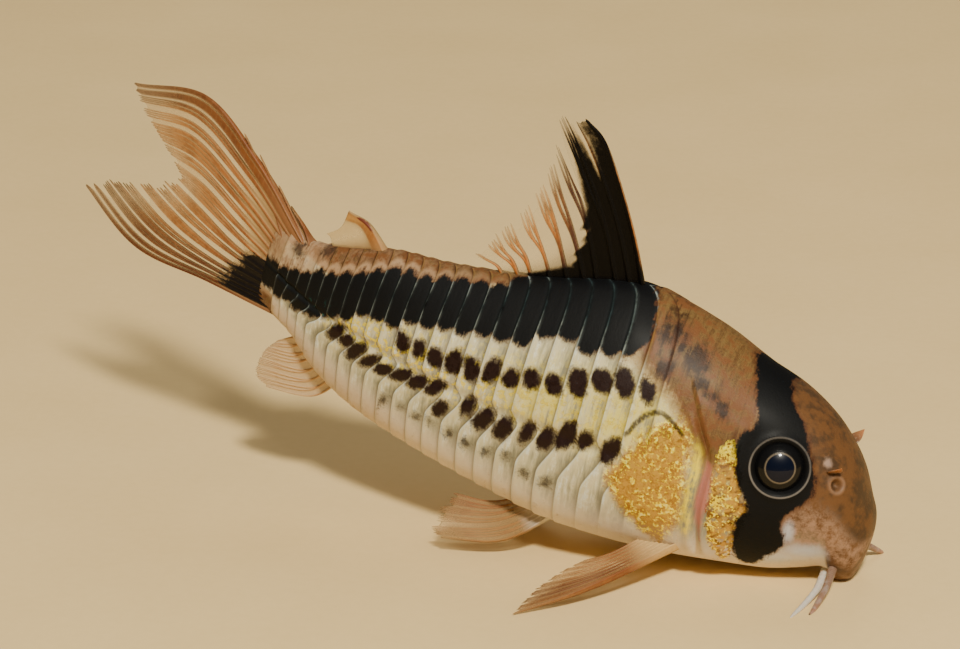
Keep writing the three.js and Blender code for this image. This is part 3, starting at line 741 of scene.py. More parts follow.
BLACK = (0.0015, 0.0017, 0.0023)
BAND_BROWN = (0.07, 0.022, 0.008)
BAND_LINE = (0.035, 0.06, 0.065)
SPOT = (0.014, 0.005, 0.004)
CREAM = (0.63, 0.565, 0.36)
GREY_CREAM = (0.225, 0.21, 0.14)
PEARL = (0.82, 0.90, 0.84)
BELLY = (0.80, 0.70, 0.58)
REAR_BELLY = (0.56, 0.42, 0.28)
COPPER = (0.15, 0.06, 0.02)
DARK_COPPER = (0.05, 0.017, 0.008)
OCHRE = (0.34, 0.205, 0.06)
OLIVE = (0.17, 0.11, 0.035)
STALK_PALE = (0.42, 0.27, 0.15)
LEMON = (0.66, 0.55, 0.10)
JAW_WHITE = (0.60, 0.66, 0.76)
TEAL = (0.03, 0.30, 0.28)
SNOUT_BROWN = (0.125, 0.056, 0.02)
SNOUT_DARK = (0.06, 0.033, 0.016)
CHEEK = (0.36, 0.21, 0.13)
GOLD = (0.58, 0.335, 0.055)
BRIGHT_GOLD = (0.94, 0.74, 0.012)
SPARKLE = (1.0, 0.92, 0.28)
DEEP_GOLD = (0.27, 0.10, 0.008)
TAN = (0.50, 0.33, 0.15)
PINK = (0.46, 0.15, 0.12)
RIM_TONE = (0.14, 0.125, 0.11)
NOSTRIL_HIGHLIGHT_TONE = (0.52, 0.36, 0.27)
NOSTRIL_HIGHLIGHT_STATION = 4.35
NOSTRIL_HIGHLIGHT_TURN = math.radians(42.5)

hide_finish = Finish(
    "wet_skin", Roughness=0.5, Coat_Weight=0.04, Coat_Roughness=0.34, Specular_IOR_Level=0.17,
    Subsurface_Weight=0.1, Subsurface_Radius=(0.0008, 0.0005, 0.0003), Subsurface_Scale=1.0,
)
paint = hide_finish.paint
mark = hide_finish.mark
fine = hide_finish.noise(0.13, 3, 0.6)
soft = hide_finish.noise(0.55, 3, 0.6)
broad = hide_finish.noise(2.2, 3, 0.6)
flat_place = hide_finish.node(
    "ShaderNodeCombineXYZ", {}, {0: mark("station"), 1: mark("round") * 0.16}
)
bars = hide_finish.noise(0.3, 3, 0.65, flat_place)
cells, small_cells = hide_finish.cells(0.3), hide_finish.cells(0.13)
blobs, dots = hide_finish.noise(0.3, 2), hide_finish.noise(0.15, 1.5)
feather = (fine - 0.5) * 0.28 + (soft - 0.5) * 0.55 + (bars - 0.5) * 0.6


def inked(name, blur=0.08, spread=1.0, grow=0.0):
    """Paint where a marking is, with the feathered edge of real pigment."""
    return (mark(name) + grow + feather * spread).step(-blur, blur)


# The pearly plates, with the belly below them and lemon and gold scales along the side
edge, groove, part = mark("edge"), mark("groove"), mark("part")
belly, tail, copper = mark("belly"), mark("tail"), mark("copper")
plain = 1 - copper
glitter = small_cells * 0.55 + cells * 0.25 + soft * 0.35
scales = cells * 0.6 + small_cells * 0.2 + soft * 0.3 + tail * 0.05
sheen = mark("sheen") * scales.step(0.6, 0.68)
yellow = mark("sheen") * mark("yellow") * (broad * 0.35 + bars * 0.65).step(0.34, 0.6)
tone = paint(
    GREY_CREAM,
    # Each plate is greyer at its front: painted shade under the raised edge of the plate ahead
    CREAM, (broad * 0.3 + bars * 0.5 + part * 0.3).step(0.34, 0.64),
    PEARL, (bars * 0.6 + soft * 0.4).step(0.5, 0.62) * part.step(0.1, 0.8) * 0.8 * plain,
    BELLY, belly * (0.75 + soft * 0.3),
    REAR_BELLY, belly * tail * (0.5 + soft * 0.5),
    LEMON, yellow * 0.95,
    BRIGHT_GOLD, sheen * (0.75 - mark("yellow") * 0.4),
)

# The copper of the nape and stalk, the brown snout, the pinkish cheeks, a painted highlight on the
# plates' raised rear edges and painted shade in the hollows behind them
ochre = (soft * 0.5 + fine * 0.25 + bars * 0.25).step(0.46, 0.68) * (0.8 - copper * 0.45)
copper_tone = paint(
    COPPER,
    OLIVE, (broad * 0.7 + soft * 0.3).step(0.4, 0.62) * (1 - tail) * 0.9,
    STALK_PALE, (soft * 0.6 + broad * 0.4).step(0.42, 0.6) * tail * 0.42,
    DARK_COPPER, (bars * 0.4 + soft * 0.4 + broad * 0.2).step(0.46, 0.6) * 0.85,
    OCHRE, ochre,
)
snout_tone = paint(SNOUT_BROWN, SNOUT_DARK, (broad * 0.6 + soft * 0.4).step(0.4, 0.62))
silver = (mark("band") + 0.62 + feather * 0.5).step(-0.15, 0.25) * tail
tone = paint(
    tone,
    OCHRE, (copper + feather * 0.8).step(0.0, 0.3) * (0.45 + glitter * 0.3),
    copper_tone, (copper + feather * 1.2).step(0.15, 0.75),
    snout_tone, mark("snout"),
    CHEEK, mark("cheek") * (soft + fine * 0.4).step(0.46, 0.86) * 0.85,
    # A painted highlight on the plates' raised rear edges: pearl on the pale plates, ochre on the
    # copper
    PEARL, edge * plain * 0.45,
    OCHRE, edge * copper * 0.5,
    # Painted shade in the hollows behind the plates' raised edges, and in the seam
    DARK_COPPER, groove * (0.28 + copper * 0.5),
    STALK_PALE, silver * copper.step(0.1, 0.5) * 0.8,
    STALK_PALE, mark("stub") * (0.45 + soft * 0.6),
    COPPER, mark("stub") * (broad * 0.5 + bars * 0.5).step(0.5, 0.62) * 0.6,
    JAW_WHITE, (mark("jaw") + feather * 0.9).step(-0.35, 0.8) * 0.58,
)

# The gold of the shoulder and gill cover, in crumbs that catch the light
gold = inked("gold", 0.62, 2.2)
strip = inked("strip", 0.12, 1.6) * (broad * 0.5 + cells * 0.5).step(0.22, 0.5)
rim_glow = 1 - mark("gold").step(0.2, 1.5)
flake = blobs.step(0.5, 0.6) * 0.8 + dots.step(0.54, 0.66) * 0.45
# The gold turns a duller tan towards the belly, in uneven patches
tan_below = belly * 1.1 + (soft - 0.5) * 1.2 + (broad - 0.5) * 0.8
cluster = (soft * 0.5 + broad * 0.5 + rim_glow * 0.05 - belly * 0.1).step(0.42, 0.58)
gold_tone = paint(
    GOLD,
    DEEP_GOLD, (soft * 0.6 + fine * 0.4).step(0.42, 0.6) * 0.65,
    TAN, tan_below.step(0.15, 0.8) * 0.8,
    BRIGHT_GOLD, ((cluster * 1.1 + 0.12) * flake).step(0, 1),
    SPARKLE, cluster * blobs.step(0.58, 0.66) * dots.step(0.45, 0.58),
)
strip_flecks = (blobs * 0.6 + dots * 0.3 + broad * 0.6 - 0.25).step(0.49, 0.57)
strip_tone = paint(
    GOLD,
    COPPER, (soft * 0.5 + broad * 0.5).step(0.44, 0.56) * 0.85,
    BRIGHT_GOLD, strip_flecks,
    SPARKLE, blobs.step(0.58, 0.64) * strip_flecks * 0.7,
)
tone = paint(
    tone,
    gold_tone, gold,
    strip_tone, strip,
    BRIGHT_GOLD, mark("shoulder") * (soft * 0.5 + bars * 0.5).step(0.36, 0.58) * 0.85,
    PINK, inked("slit", 0.22, 0.5) * (0.6 + broad * 0.5),
)

# The dark markings, with the painted highlight on the plates' raised rear edges drawn as grey lines
# across the band
rear_edge_highlight = edge * (bars * 0.6 + soft * 0.4).step(0.36, 0.6)
band_tone = paint(
    BLACK,
    BAND_LINE, rear_edge_highlight * 0.8 + groove * 0.08,
    PEARL, rear_edge_highlight * (1 - mark("band").step(0.1, 1.9)) * 0.3,
)
tone = paint(
    tone,
    SPOT, inked("outline", 0.1, 0.3) * 0.85,
    SPOT, inked("faint", 0.3, 1.5) * (0.55 + soft * 0.5),
    BAND_BROWN, inked("spots", 0.16, 0.9, 0.08) * 0.5,
    SPOT, inked("spots", 0.18, 0.9),
    BAND_BROWN, inked("band", 0.2, 1.3, 0.16) * 0.75,
    band_tone, inked("band", 0.16, 1.3),
    TEAL, mark("teal") * (blobs * 0.5 + bars * 0.5).step(0.56, 0.64) * 0.6,
    BAND_BROWN, inked("mask", 0.25, 1.6, 0.2) * 0.7,
    BLACK, inked("mask", 0.14, 1.2),
)


def away_from(s, turn):
    """The distance from a spot on the skin, in millimetres."""
    return hide_finish.distance(bend(skin_spot(s, turn)))


low_half = mark("round").step(50 * ROUND_SHARE, 76 * ROUND_SHARE)
for side in (-1, 1):
    eye = away_from(EYE_STATION, side * EYE_TURN)
    pit = away_from(NOSTRIL_STATION, side * NOSTRIL_TURN)
    nostril_highlight = away_from(NOSTRIL_HIGHLIGHT_STATION, side * NOSTRIL_HIGHLIGHT_TURN) + (soft - 0.5) * 0.5
    ring = eye.step(RIM - 0.1, RIM - 0.02) * (1 - eye.step(RIM + 0.02, RIM + 0.1))
    tone = paint(
        tone,
        RIM_TONE, ring * (0.25 + low_half * 0.5 + soft * 0.5),
        CHEEK, pit.step(0.34, 0.52) * (1 - pit.step(0.52, 0.8)) * 0.35,
        # Painted shade: the nostril pit darkened inside its opening
        SPOT, (1 - pit.step(0.1, 0.42)) * 0.9,
        # A painted highlight: a pale spot on the skin beside each nostril flap
        NOSTRIL_HIGHLIGHT_TONE, (1 - nostril_highlight.step(0.12, 0.52)) * 0.55,
    )
metal = ((gold + strip) * 0.6 + sheen * 0.5).step(0, 1)
inky = mark("band").step(-0.2, 0.2) + mark("mask").step(-0.2, 0.2)
rough = 0.5 - metal * 0.2 + (fine - 0.5) * 0.12 + inky * 0.18
ground = hide_finish.bump(fine * 0.45 + soft * 0.3 + bars * 0.4 * part.step(0, 0.3), 0.05)
sparkle = hide_finish.bump(small_cells * (gold + strip + sheen), 0.06, ground)
hide_finish.set(Base_Color=tone, Metallic=metal * 0.65, Roughness=rough, Normal=sparkle)
hide.data.materials.append(hide_finish.material)
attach(hide, "root")
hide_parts("head", "trunk", "tail_stalk")

# The eyes: glassy black balls, flattened outwards, with a thin pale ring round the pupil. They
# sit in their sockets inside the rim of skin.
PUPIL = (0.0012, 0.003, 0.011)
IRIS = (0.0035, 0.0035, 0.004)
RING = (0.12, 0.095, 0.065)
PUPIL_RADIUS = 0.92
RING_RADIUS = 1.0
SIDES = ("right", -1), ("left", 1)
eye_finish = Finish(
    "eye", Roughness=0.3, Coat_Weight=0.32, Coat_Roughness=0.03, Specular_IOR_Level=0.1
)
eye_out = eye_finish.mark("out")
grain = eye_finish.noise(0.12, 2)
ring = eye_out.step(PUPIL_RADIUS, PUPIL_RADIUS + 0.06)
ring = ring * (1 - eye_out.step(RING_RADIUS, RING_RADIUS + 0.1))
eye_tone = eye_finish.paint(
    PUPIL,
    IRIS, eye_out.step(PUPIL_RADIUS, PUPIL_RADIUS + 0.05),
    RING, ring * (0.5 + grain),
)
uneven = eye_finish.bump(grain * eye_out.step(0.8, 1.2), 0.015)
eye_finish.set(Base_Color=eye_tone, Normal=uneven)
for name, side in SIDES:
    form = bmesh.new()
    bmesh.ops.create_uvsphere(form, u_segments=96, v_segments=64, radius=EYE_RADIUS)
    out = form.verts.layers.float.new("out")
    for vert in form.verts:
        vert[out] = math.hypot(vert.co.x, vert.co.y)
        vert.co.z *= EYE_FLAT
    seat = on_skin(EYE_STATION, side * EYE_TURN, -EYE_SINK)
    bmesh.ops.transform(form, matrix=seat, verts=form.verts)
    bmesh.ops.scale(form, vec=(MM, MM, MM), verts=form.verts)
    eye = make_piece(f"eyeball_{name}", form)
    eye.data.materials.append(eye_finish.material)
    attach(eye, "root")
    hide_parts(f"eye_{name}")

# The nostril flaps: thin pointed leaves of orange skin, one beside each nostril pit. They grow
# from the snout and stand out of it, a little bent.
FLAP_STATION = 3.9
FLAP_TURN = math.radians(46)
FLAP_HEIGHT = 1.35
FLAP_WIDTH = 0.5
FLAP_YAW = math.radians(50)
FLAP_THICK = 0.09
FLAP_BEND = 0.22
FLAP_SINK = 0.12
FLAP_ROUND = 28
FLAP_ROWS = 20
FLAP_ROOT = (0.15, 0.07, 0.03)
FLAP_ORANGE = (0.44, 0.17, 0.06)
FLAP_PALE = (0.5, 0.34, 0.22)
flap_finish = Finish(
    "nostril_flap", Roughness=0.4, Coat_Weight=0.3, Coat_Roughness=0.2, Subsurface_Weight=0.3,
    Subsurface_Radius=(0.0006, 0.0003, 0.0002),
)
flap_tone = flap_finish.paint(
    FLAP_ROOT,
    FLAP_ORANGE, flap_finish.mark("rise").step(0.2, 1.0),
    FLAP_PALE, flap_finish.noise(0.2, 2).step(0.5, 0.8) * 0.3,
)
flap_finish.set(Base_Color=flap_tone, Normal=flap_finish.bump(flap_finish.noise(0.12, 2), 0.02))


def flap_points(side):
    yaw = Matrix.Rotation(side * FLAP_YAW, 4, "Z")
    seat = np.array(on_skin(FLAP_STATION, side * FLAP_TURN, -FLAP_SINK) @ yaw)

    def place(column, row):
        turn, rise = 2 * np.pi * column / FLAP_ROUND, row / FLAP_ROWS
        taper = np.maximum(1 - rise**1.5, 0) ** 0.8 * (0.85 + 0.4 * np.sin(np.pi * rise))
        x = FLAP_THICK * np.cos(turn) * taper + FLAP_BEND * rise**2
        y = FLAP_WIDTH * np.sin(turn) * taper
        z = FLAP_HEIGHT * rise
        local = np.stack([x, y, z, np.ones_like(x)], -1)
        local[row == 0] = (0, 0, 0, 1)
        return (local @ seat.T)[:, :3], {"rise": rise}

    return place


for name, side in SIDES:
    flap = net(f"nostril_flap_{name}", FLAP_ROUND, FLAP_ROWS, flap_points(side), 1e-6)
    flap.data.materials.append(flap_finish.material)
    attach(flap, "root")

# The barbels: soft feelers from the corners of the mouth, the upper pair brown and the lower
# pair white. They taper to fine tips, and the lower ones touch the floor.
BARBEL_RADIUS = 0.32
BARBEL_ROOT = 1.15
BARBEL_TAPER = 0.72
BARBEL_ROUND = 28
BARBEL_ROWS = 150
BARBEL_RINGS = 46
BARBEL_WHITE = (0.64, 0.58, 0.50)
BARBEL_BROWN = (0.22, 0.13, 0.085)
BARBEL_TIP = (0.5, 0.22, 0.12)
BARBEL_GREY = (0.60, 0.58, 0.55)
BARBELS = {
    "upper_right": [
        (2.6, -1.2, 2.2), (2.4, -2.3, 2.3), (2.3, -4.1, 1.7), (2.45, -5.9, 0.95),
        (2.6, -7.2, 0.62),
    ],
    "lower_right": [
        (2.9, -0.9, 1.5), (2.9, -2.2, 1.35), (2.95, -4.0, 1.05), (3.3, -6.1, 0.72),
        (3.7, -8.0, 0.5),
    ],
    "upper_left": [
        (2.5, 1.2, 2.2), (1.9, 2.3, 2.3), (1.1, 3.3, 2.0), (0.5, 4.0, 1.6), (0.05, 4.6, 1.25),
    ],
    "lower_left": [
        (2.9, 0.9, 1.5), (2.9, 2.2, 1.3), (2.8, 3.9, 1.05), (2.9, 5.6, 0.8), (3.3, 7.4, 0.6),
    ],
}
barbel_finish = Finish(
    "barbel", Roughness=0.42, Coat_Weight=0.3, Coat_Roughness=0.2, Subsurface_Weight=0.25,
    Subsurface_Radius=(0.0008, 0.0004, 0.0003),
)
upper, out_along = barbel_finish.mark("upper"), barbel_finish.mark("along")
barbel_grain = barbel_finish.noise(0.5, 3)
barbel_tone = barbel_finish.paint(
    BARBEL_WHITE,
    BARBEL_BROWN, upper,
    BARBEL_TIP, upper * out_along.step(0.5, 1.0) * 0.5,
    BARBEL_GREY, barbel_grain.step(0.4, 0.75) * 0.3,
)
barbel_rings = (out_along * BARBEL_RINGS).fract().step(0.6, 1.0) + barbel_grain * 0.5
barbel_finish.set(Base_Color=barbel_tone, Normal=barbel_finish.bump(barbel_rings, 0.02))


def barbel_points(route, upper_side):
    last = len(route) - 1
    lines = [smooth_line([(i / last, spot[k]) for i, spot in enumerate(route)]) for k in range(3)]

    def middle(t):
        return np.stack([line(t) for line in lines], -1)

    def place(column, row):
        t = row / BARBEL_ROWS
        ahead = middle(np.minimum(t + 0.01, 1)) - middle(np.maximum(t - 0.01, 0))
        side = np.cross(np.array([0, 0, 1.0]), ahead)
        side /= np.linalg.norm(side, axis=1, keepdims=True)
        over = np.cross(ahead, side)
        over /= np.linalg.norm(over, axis=1, keepdims=True)
        radius = BARBEL_RADIUS * (BARBEL_ROOT - BARBEL_TAPER * t) * np.sqrt(1 - t**14)
        radius = radius * (1 + 0.03 * np.sin(t * 90))
        radius[row == 0] = 0
        turn = 2 * np.pi * column / BARBEL_ROUND
        out = side * np.cos(turn)[:, None] + over * np.sin(turn)[:, None]
        points = on_floor(middle(t) + out * radius[:, None])
        return points, {"along": t, "upper": np.full(len(t), upper_side)}

    return place


for name, route in BARBELS.items():
    upper_side = 1.0 if name.startswith("upper") else 0.0
    place = barbel_points(route, upper_side)
    feeler = net(f"feeler_{name}", BARBEL_ROUND, BARBEL_ROWS, place, 1e-7)
    feeler.data.materials.append(barbel_finish.material)
    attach(feeler, "root")
    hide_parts(f"barbel_{name}")

# The fins: thin clear skin stretched between jointed rays, which split twice on their way out
# and end in fine tips. Guides run from the root line to the tip line, as (u, s, y, h) with u
# going from the first ray to the last.
MEMBRANE = 0.045
TIP_THIN = 0.35
STEP = 0.02
RAY_SHIFT = 0.16
SPLIT_SHIFT = 0.06
SWAY = 0.06
RAY_GAP = 0.12


def fin_sheet(guides):
    """The middle of a fin between its two faces: u runs across its rays and v along them."""
    lines = [[smooth_line([(x[0], x[k]) for x in guide]) for k in (1, 2, 3)] for guide in guides]

    def at(u, v):
        places = np.array([np.stack([line(u) for line in guide], -1) for guide in lines])
        slopes = np.gradient(places, axis=0)
        last = len(places) - 1
        i = np.clip((v * last).astype(int), 0, last - 1)
        a, b = (i, np.arange(len(u))), (i + 1, np.arange(len(u)))
        return hermite((v * last - i)[:, None], places[a], places[b], slopes[a], slopes[b])

    return at


def fin_rays(u, v, fin):
    """How much of a ray a point of the fin has, with each ray split twice on its way out."""
    random = np.random.default_rng(fin["seed"])
    rays = fin["rays"]
    pitch = 1 / (rays - 1)
    best = np.zeros(len(u))
    for i in range(fin.get("drawn", rays)):
        whole = i < fin["whole"][0] or i >= rays - fin["whole"][1]
        grow = random.uniform(0.75, 1.25) * (fin["stout"] if whole else 1)
        start = i * pitch + (0 if whole else random.uniform(-RAY_SHIFT, RAY_SHIFT) * pitch)
        first, second = np.array(fin["splits"]) + random.uniform(-SPLIT_SHIFT, SPLIT_SHIFT, 2)
        sway = SWAY * pitch * np.sin(v * random.uniform(3, 6) + random.uniform(0, 6))
        fork = fin["fork"] * pitch * ramp(v, first, first + 0.4)
        twig = fin["twig"] * pitch * ramp(v, second, second + 0.35)
        sides = [(0, 0)] if whole else [(-1, -1), (-1, 1), (1, -1), (1, 1)]
        thin = fin["thin"] * (0.5 if whole else 1)
        thick = pitch * grow * fin["width"] * (1 - thin * ramp(v, 0.1, 1))
        for a, b in sides:
            middle = start + sway + a * fork + b * twig
            middle = np.clip(middle, RAY_GAP * pitch, 1 - RAY_GAP * pitch)
            best = np.maximum(best, bell(u - middle, thick))
    return best


def fin_reach(u, fin):
    """How far out the fin's edge lies, as a share of its length: less between rays and at tears."""
    random = np.random.default_rng(fin["seed"] + 1)
    frays = random.uniform(0, 1, 5 * fin["rays"])
    frayed = np.interp(u, np.linspace(0, 1, len(frays)), frays)
    notch = smooth_line(fin["notch"])(u)
    reach = 1 - notch * (1 - fin_rays(u, np.ones(len(u)), fin)) - notch * fin["fray"] * frayed
    for at, width, depth in fin["tears"]:
        reach = reach * (1 - depth * bell(u - at, width) ** 0.6)
    return reach


def fin_place(fin, side):
    sheet = fin_sheet(fin["guides"])
    columns, rows = fin["columns"], fin["rows"]

    def place(column, row):
        folded = np.abs(columns - column)
        u = 1 - folded / columns
        face = np.where(column <= columns, 1.0, -1.0)
        v = blend(-fin["inset"], fin_reach(u, fin), row / rows)
        ray = fin_rays(u, v, fin)
        at = sheet(u, v)
        across = sheet(np.minimum(u + STEP, 1), v) - sheet(np.maximum(u - STEP, 0), v)
        along = sheet(u, np.minimum(v + STEP, 1)) - sheet(u, np.maximum(v - STEP, 0))
        out = np.cross(along, across)
        out /= np.maximum(np.linalg.norm(out, axis=1, keepdims=True), 1e-9)
        spine = fin["spine"] * bell(u, 0.5 / fin["rays"]) * (1 - 0.9 * v)
        thin = 1 - TIP_THIN * v
        half = MEMBRANE * thin + fin["ray_stand"] * ray * (1 - 0.75 * v) + spine
        half = half + fin["root"] * (1 - np.maximum(v, 0)) ** 6
        border = np.minimum(np.minimum(u, 1 - u) * columns / 2, (rows - row) / 1.5)
        half = half * np.sqrt(np.clip(np.minimum(border, row), 0, 1))
        straight = at + out * (half * face)[:, None]
        straight[:, 1] *= side
        marks = {"ray": ray, "along": v, "across": u}
        marks |= {name: fin[name](u, v) for name in ("dark", "brown", "web")}
        return on_floor(straight), marks

    return place


def fin_finish(name, tones, clear, fade, joints, blur=0.1, gloss=0.2):
    """Skin and rays. Clear is how solid the skin is, fade how much the fin thins at its tips."""
    root_tone, ray_tone, tip_tone, membrane_tone, dark_tone, brown_tone = tones
    made = Finish(
        name, Roughness=0.48, Coat_Weight=0.05, Coat_Roughness=0.25, Specular_IOR_Level=gloss
    )
    ray, along, dark = made.mark("ray"), made.mark("along"), made.mark("dark")
    brown, grain = made.mark("brown"), made.noise(0.3, 3, 0.6)
    fine_grain = made.noise(0.09, 2, 0.5)
    streak = made.noise(1.4, 3, 0.6)
    ray_core = (ray + (grain - 0.5) * 0.08).step(0.3, 0.75)
    joint = (along * joints + made.mark("across") * 7.3).fract().step(0.75, 0.95)
    rough_edge = (grain - 0.5) * 0.5 + (fine_grain - 0.5) * 0.3 + (streak - 0.5) * 0.6
    black = dark + rough_edge * (1.1 - blur * 2.5) + ray * dark * 0.25
    black = black.step(0.5 - blur, 0.5 + blur)
    rays = made.paint(
        ray_tone,
        tip_tone, along.step(0.3, 1.0),
        brown_tone, (streak + grain * 0.4).step(0.62, 0.85) * 0.4,
        brown_tone, brown * (0.7 + grain * 0.5),
        membrane_tone, joint * 0.07,
    )
    tone = made.paint(
        membrane_tone,
        rays, ray_core,
        brown_tone, brown * (0.3 + streak * 0.3),
        root_tone, (1 - along.step(0.08, 0.35)) * (0.55 + grain * 0.5),
        dark_tone, black,
    )
    web = clear * (0.55 + grain * 0.3 + along * 0.6) + made.mark("web")
    veil = web + ray_core * (0.93 - web) + (1 - along.step(0.1, 0.4)) * 0.4
    fading = 1 - along.step(0.6, 1.0) * fade
    made.set(Base_Color=tone, Alpha=veil * fading * (1 - black) + black * 0.97)
    made.set(Normal=made.bump(ray * 0.6 + joint * ray * 0.12 + fine_grain * 0.1, 0.04))
    return made


def build_fin(name, node, fin, finish, side=1):
    piece = net(name, 2 * fin["columns"], fin["rows"], fin_place(fin, side), 1e-7)
    piece.data.materials.append(finish.material)
    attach(piece, "root")
    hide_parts(node)


def no_paint(u, v):
    return 0 * u


def on_middle(*lines):
    """Guides on the middle of the fish, each given as (u, s, h)."""
    return [[(u, s, 0, h) for u, s, h in line] for line in lines]


PLAIN_FIN = {
    "whole": (1, 0), "stout": 1.2, "width": 0.15, "thin": 0.6, "splits": (0.25, 0.52), "fork": 0.19,
    "twig": 0.1, "fray": 0.4, "inset": 0, "tears": [], "spine": 0.1, "ray_stand": 0.1, "root": 0.16,
    "dark": no_paint, "brown": no_paint, "web": no_paint,
}


# The dorsal fin: a locking spine and two black rays tied together by black skin, then seven
# orange rays whose skin is clear. Its edge is torn a little behind the first black ray and
# deeper behind the second.
dorsal_edge = smooth_line([
    (0, 0.78), (0.07, 0.68), (0.14, 0.54), (0.26, 0.41), (0.45, 0.32), (0.7, 0.28), (1, 0.27),
])


def dorsal_dark(u, v):
    ragged = (0.02 * np.sin(v * 43 + 1) + 0.02 * np.sin(v * 101)) * (1 - ramp(v, 0.3, 0.55))
    black = 1 - ramp(u - dorsal_edge(v) + ragged, -0.08, 0.06)
    base = (1 - ramp(v - 0.05 * u, 0.08, 0.2)) * (1 - ramp(u, 0.76, 0.9))
    pale_slot = bell(u - 0.125, 0.022) * ramp(v, 0.45, 0.65)
    pale_tip = bell(u - 0.2, 0.045) * ramp(v, 0.68, 0.92)
    between = (1 - fin_rays(u, v, DORSAL)) * ramp(v, 0.4, 0.8)
    front = bell(u, 0.009) * within(v, (0.05, 0.2), (0.5, 0.8))
    faded = 0.6 * pale_slot + 0.5 * pale_tip + 0.8 * front + 0.3 * between
    return np.clip(np.maximum(black, base) - faded - 0.2 * ramp(v, 0.85, 1.0), 0, 1)


def dorsal_brown(u, v):
    fringe = np.clip(1.2 - 6 * np.abs(u - dorsal_edge(v) - 0.04), 0, 1)
    return fringe + ramp(v, 0.7, 1) * (u < 0.27)


DORSAL = PLAIN_FIN | {
    "guides": on_middle(
        [(0, 19.2, 16.2), (0.25, 21.8, 16), (0.5, 24.4, 15.4), (0.75, 27, 14.7), (1, 29.4, 14)],
        [(0, 21.4, 21), (0.25, 23.8, 20.4), (0.5, 25.9, 18.3), (0.75, 28, 16.4), (1, 30.3, 15)],
        [
            (0, 24.4, 25.9), (0.25, 26.2, 23.8), (0.5, 27.3, 20.4), (0.75, 29.1, 17.5),
            (1, 31.3, 15.2),
        ],
        [
            (0, 26.4, 27.4), (0.12, 27.6, 27.3), (0.25, 28.5, 26.7), (0.38, 28.2, 24.3),
            (0.6, 29.0, 20.9), (0.8, 30.5, 18.2), (1, 32.3, 15.3),
        ],
    ),
    "columns": 230, "rows": 110, "rays": 10, "whole": (2, 0), "width": 0.11, "seed": 5,
    "splits": (0.22, 0.5), "fork": 0.16, "fray": 0.6, "ray_stand": 0.11, "root": 0.12,
    "notch": [(0, 0.03), (0.12, 0.05), (0.26, 0.05), (0.4, 0.12), (1, 0.12)],
    "tears": [(0.3, 0.014, 0.5), (0.125, 0.009, 0.22)], "dark": dorsal_dark, "brown": dorsal_brown,
}
DORSAL_TONES = [
    (0.03, 0.012, 0.008), (0.42, 0.14, 0.03), (0.50, 0.25, 0.08), (0.58, 0.42, 0.2),
    (0.002, 0.0015, 0.0015), (0.07, 0.03, 0.02),
]
dorsal_finish = fin_finish("dorsal_fin_skin", DORSAL_TONES, 0.1, 0.75, 20, 0.26, 0.08)
build_fin("dorsal_fin_rays", "dorsal_fin", DORSAL, dorsal_finish)


# The tail fin: two lobes of clear orange skin and branched rays on the end of the spine, the
# upper one bent over at its tip, with a row of small stiff rays ahead of its root
def caudal_dark(u, v):
    return (1 - ramp(v, 0.1, 0.5)) * within(u, (0.42, 0.56), (0.91, 1.0))


def caudal_web(u, v):
    return 0.3 * ramp(v, 0.4, 0.9) * (1 - ramp(u, 0.4, 0.52)) + 0.4 * (1 - ramp(v, 0.2, 0.4))


def caudal_brown(u, v):
    near_band = (1 - ramp(v, 0.2, 0.55)) * ramp(u, 0.5, 0.62)
    lower = ramp(u, 0.66, 0.86) * (0.9 - 0.2 * v)
    leading = (1 - ramp(u, 0.08, 0.17)) * (0.35 + 0.4 * v)
    return np.clip(lower + near_band + leading, 0, 1)


CAUDAL = PLAIN_FIN | {
    "guides": on_middle(
        [(0, 44.6, 11.1), (0.5, 45.8, 7.9), (1, 45.0, 4.9)],
        [(0, 50.4, 15.1), (0.25, 51.2, 12.1), (0.5, 50, 8.6), (0.75, 51, 5.9), (1, 52.4, 4.1)],
        [(0, 56.6, 17.4), (0.25, 56.6, 13.7), (0.5, 54, 9.6), (0.75, 57, 6), (1, 59.6, 2.7)],
        [
            (0, 63.7, 14.5), (0.17, 62.4, 13.2), (0.33, 59.6, 11.9), (0.5, 57.3, 10.2),
            (0.67, 60.6, 8.1), (0.83, 63.8, 6.1), (1, 66.0, 3.9),
        ],
    ),
    "columns": 340, "rows": 130, "rays": 17, "whole": (2, 2), "stout": 2.3, "width": 0.2,
    "thin": 0.66, "seed": 9, "splits": (0.2, 0.48), "fray": 0.5, "spine": 0.08, "ray_stand": 0.12,
    "notch": [
        (0, 0.01), (0.12, 0.03), (0.3, 0.03), (0.45, 0.07), (0.55, 0.14), (0.9, 0.08), (1, 0.02),
    ],
    "root": 0.36, "dark": caudal_dark, "brown": caudal_brown, "web": caudal_web,
}
CAUDAL_TONES = [
    (0.24, 0.11, 0.045), (0.36, 0.13, 0.034), (0.48, 0.22, 0.065), (0.66, 0.45, 0.2),
    (0.006, 0.004, 0.004), (0.10, 0.026, 0.010),
]
caudal_finish = fin_finish("tail_fin_skin", CAUDAL_TONES, 0.12, 0.4, 32)
build_fin("caudal_fin_rays", "caudal_fin", CAUDAL, caudal_finish)

ROOTLETS = PLAIN_FIN | {
    "guides": on_middle(
        [(0, 44.2, 11.2), (1, 46.4, 10.4)],
        [(0, 45.3, 12.2), (1, 49.2, 13.1)],
        [(0, 46.6, 13.0), (0.35, 49.2, 14.8), (0.7, 52.2, 16.5), (1, 54.4, 17.1)],
    ),
    "columns": 110, "rows": 70, "rays": 5, "whole": (5, 0), "stout": 1.7, "width": 0.17,
    "thin": 0.5, "seed": 12, "fray": 0.2, "notch": [(0, 0.25), (1, 0.2)], "spine": 0.05,
    "ray_stand": 0.15, "root": 0.3, "brown": lambda u, v: 0.7 - 0.3 * v,
}
build_fin("tail_root_rays", "caudal_fin", ROOTLETS, caudal_finish)

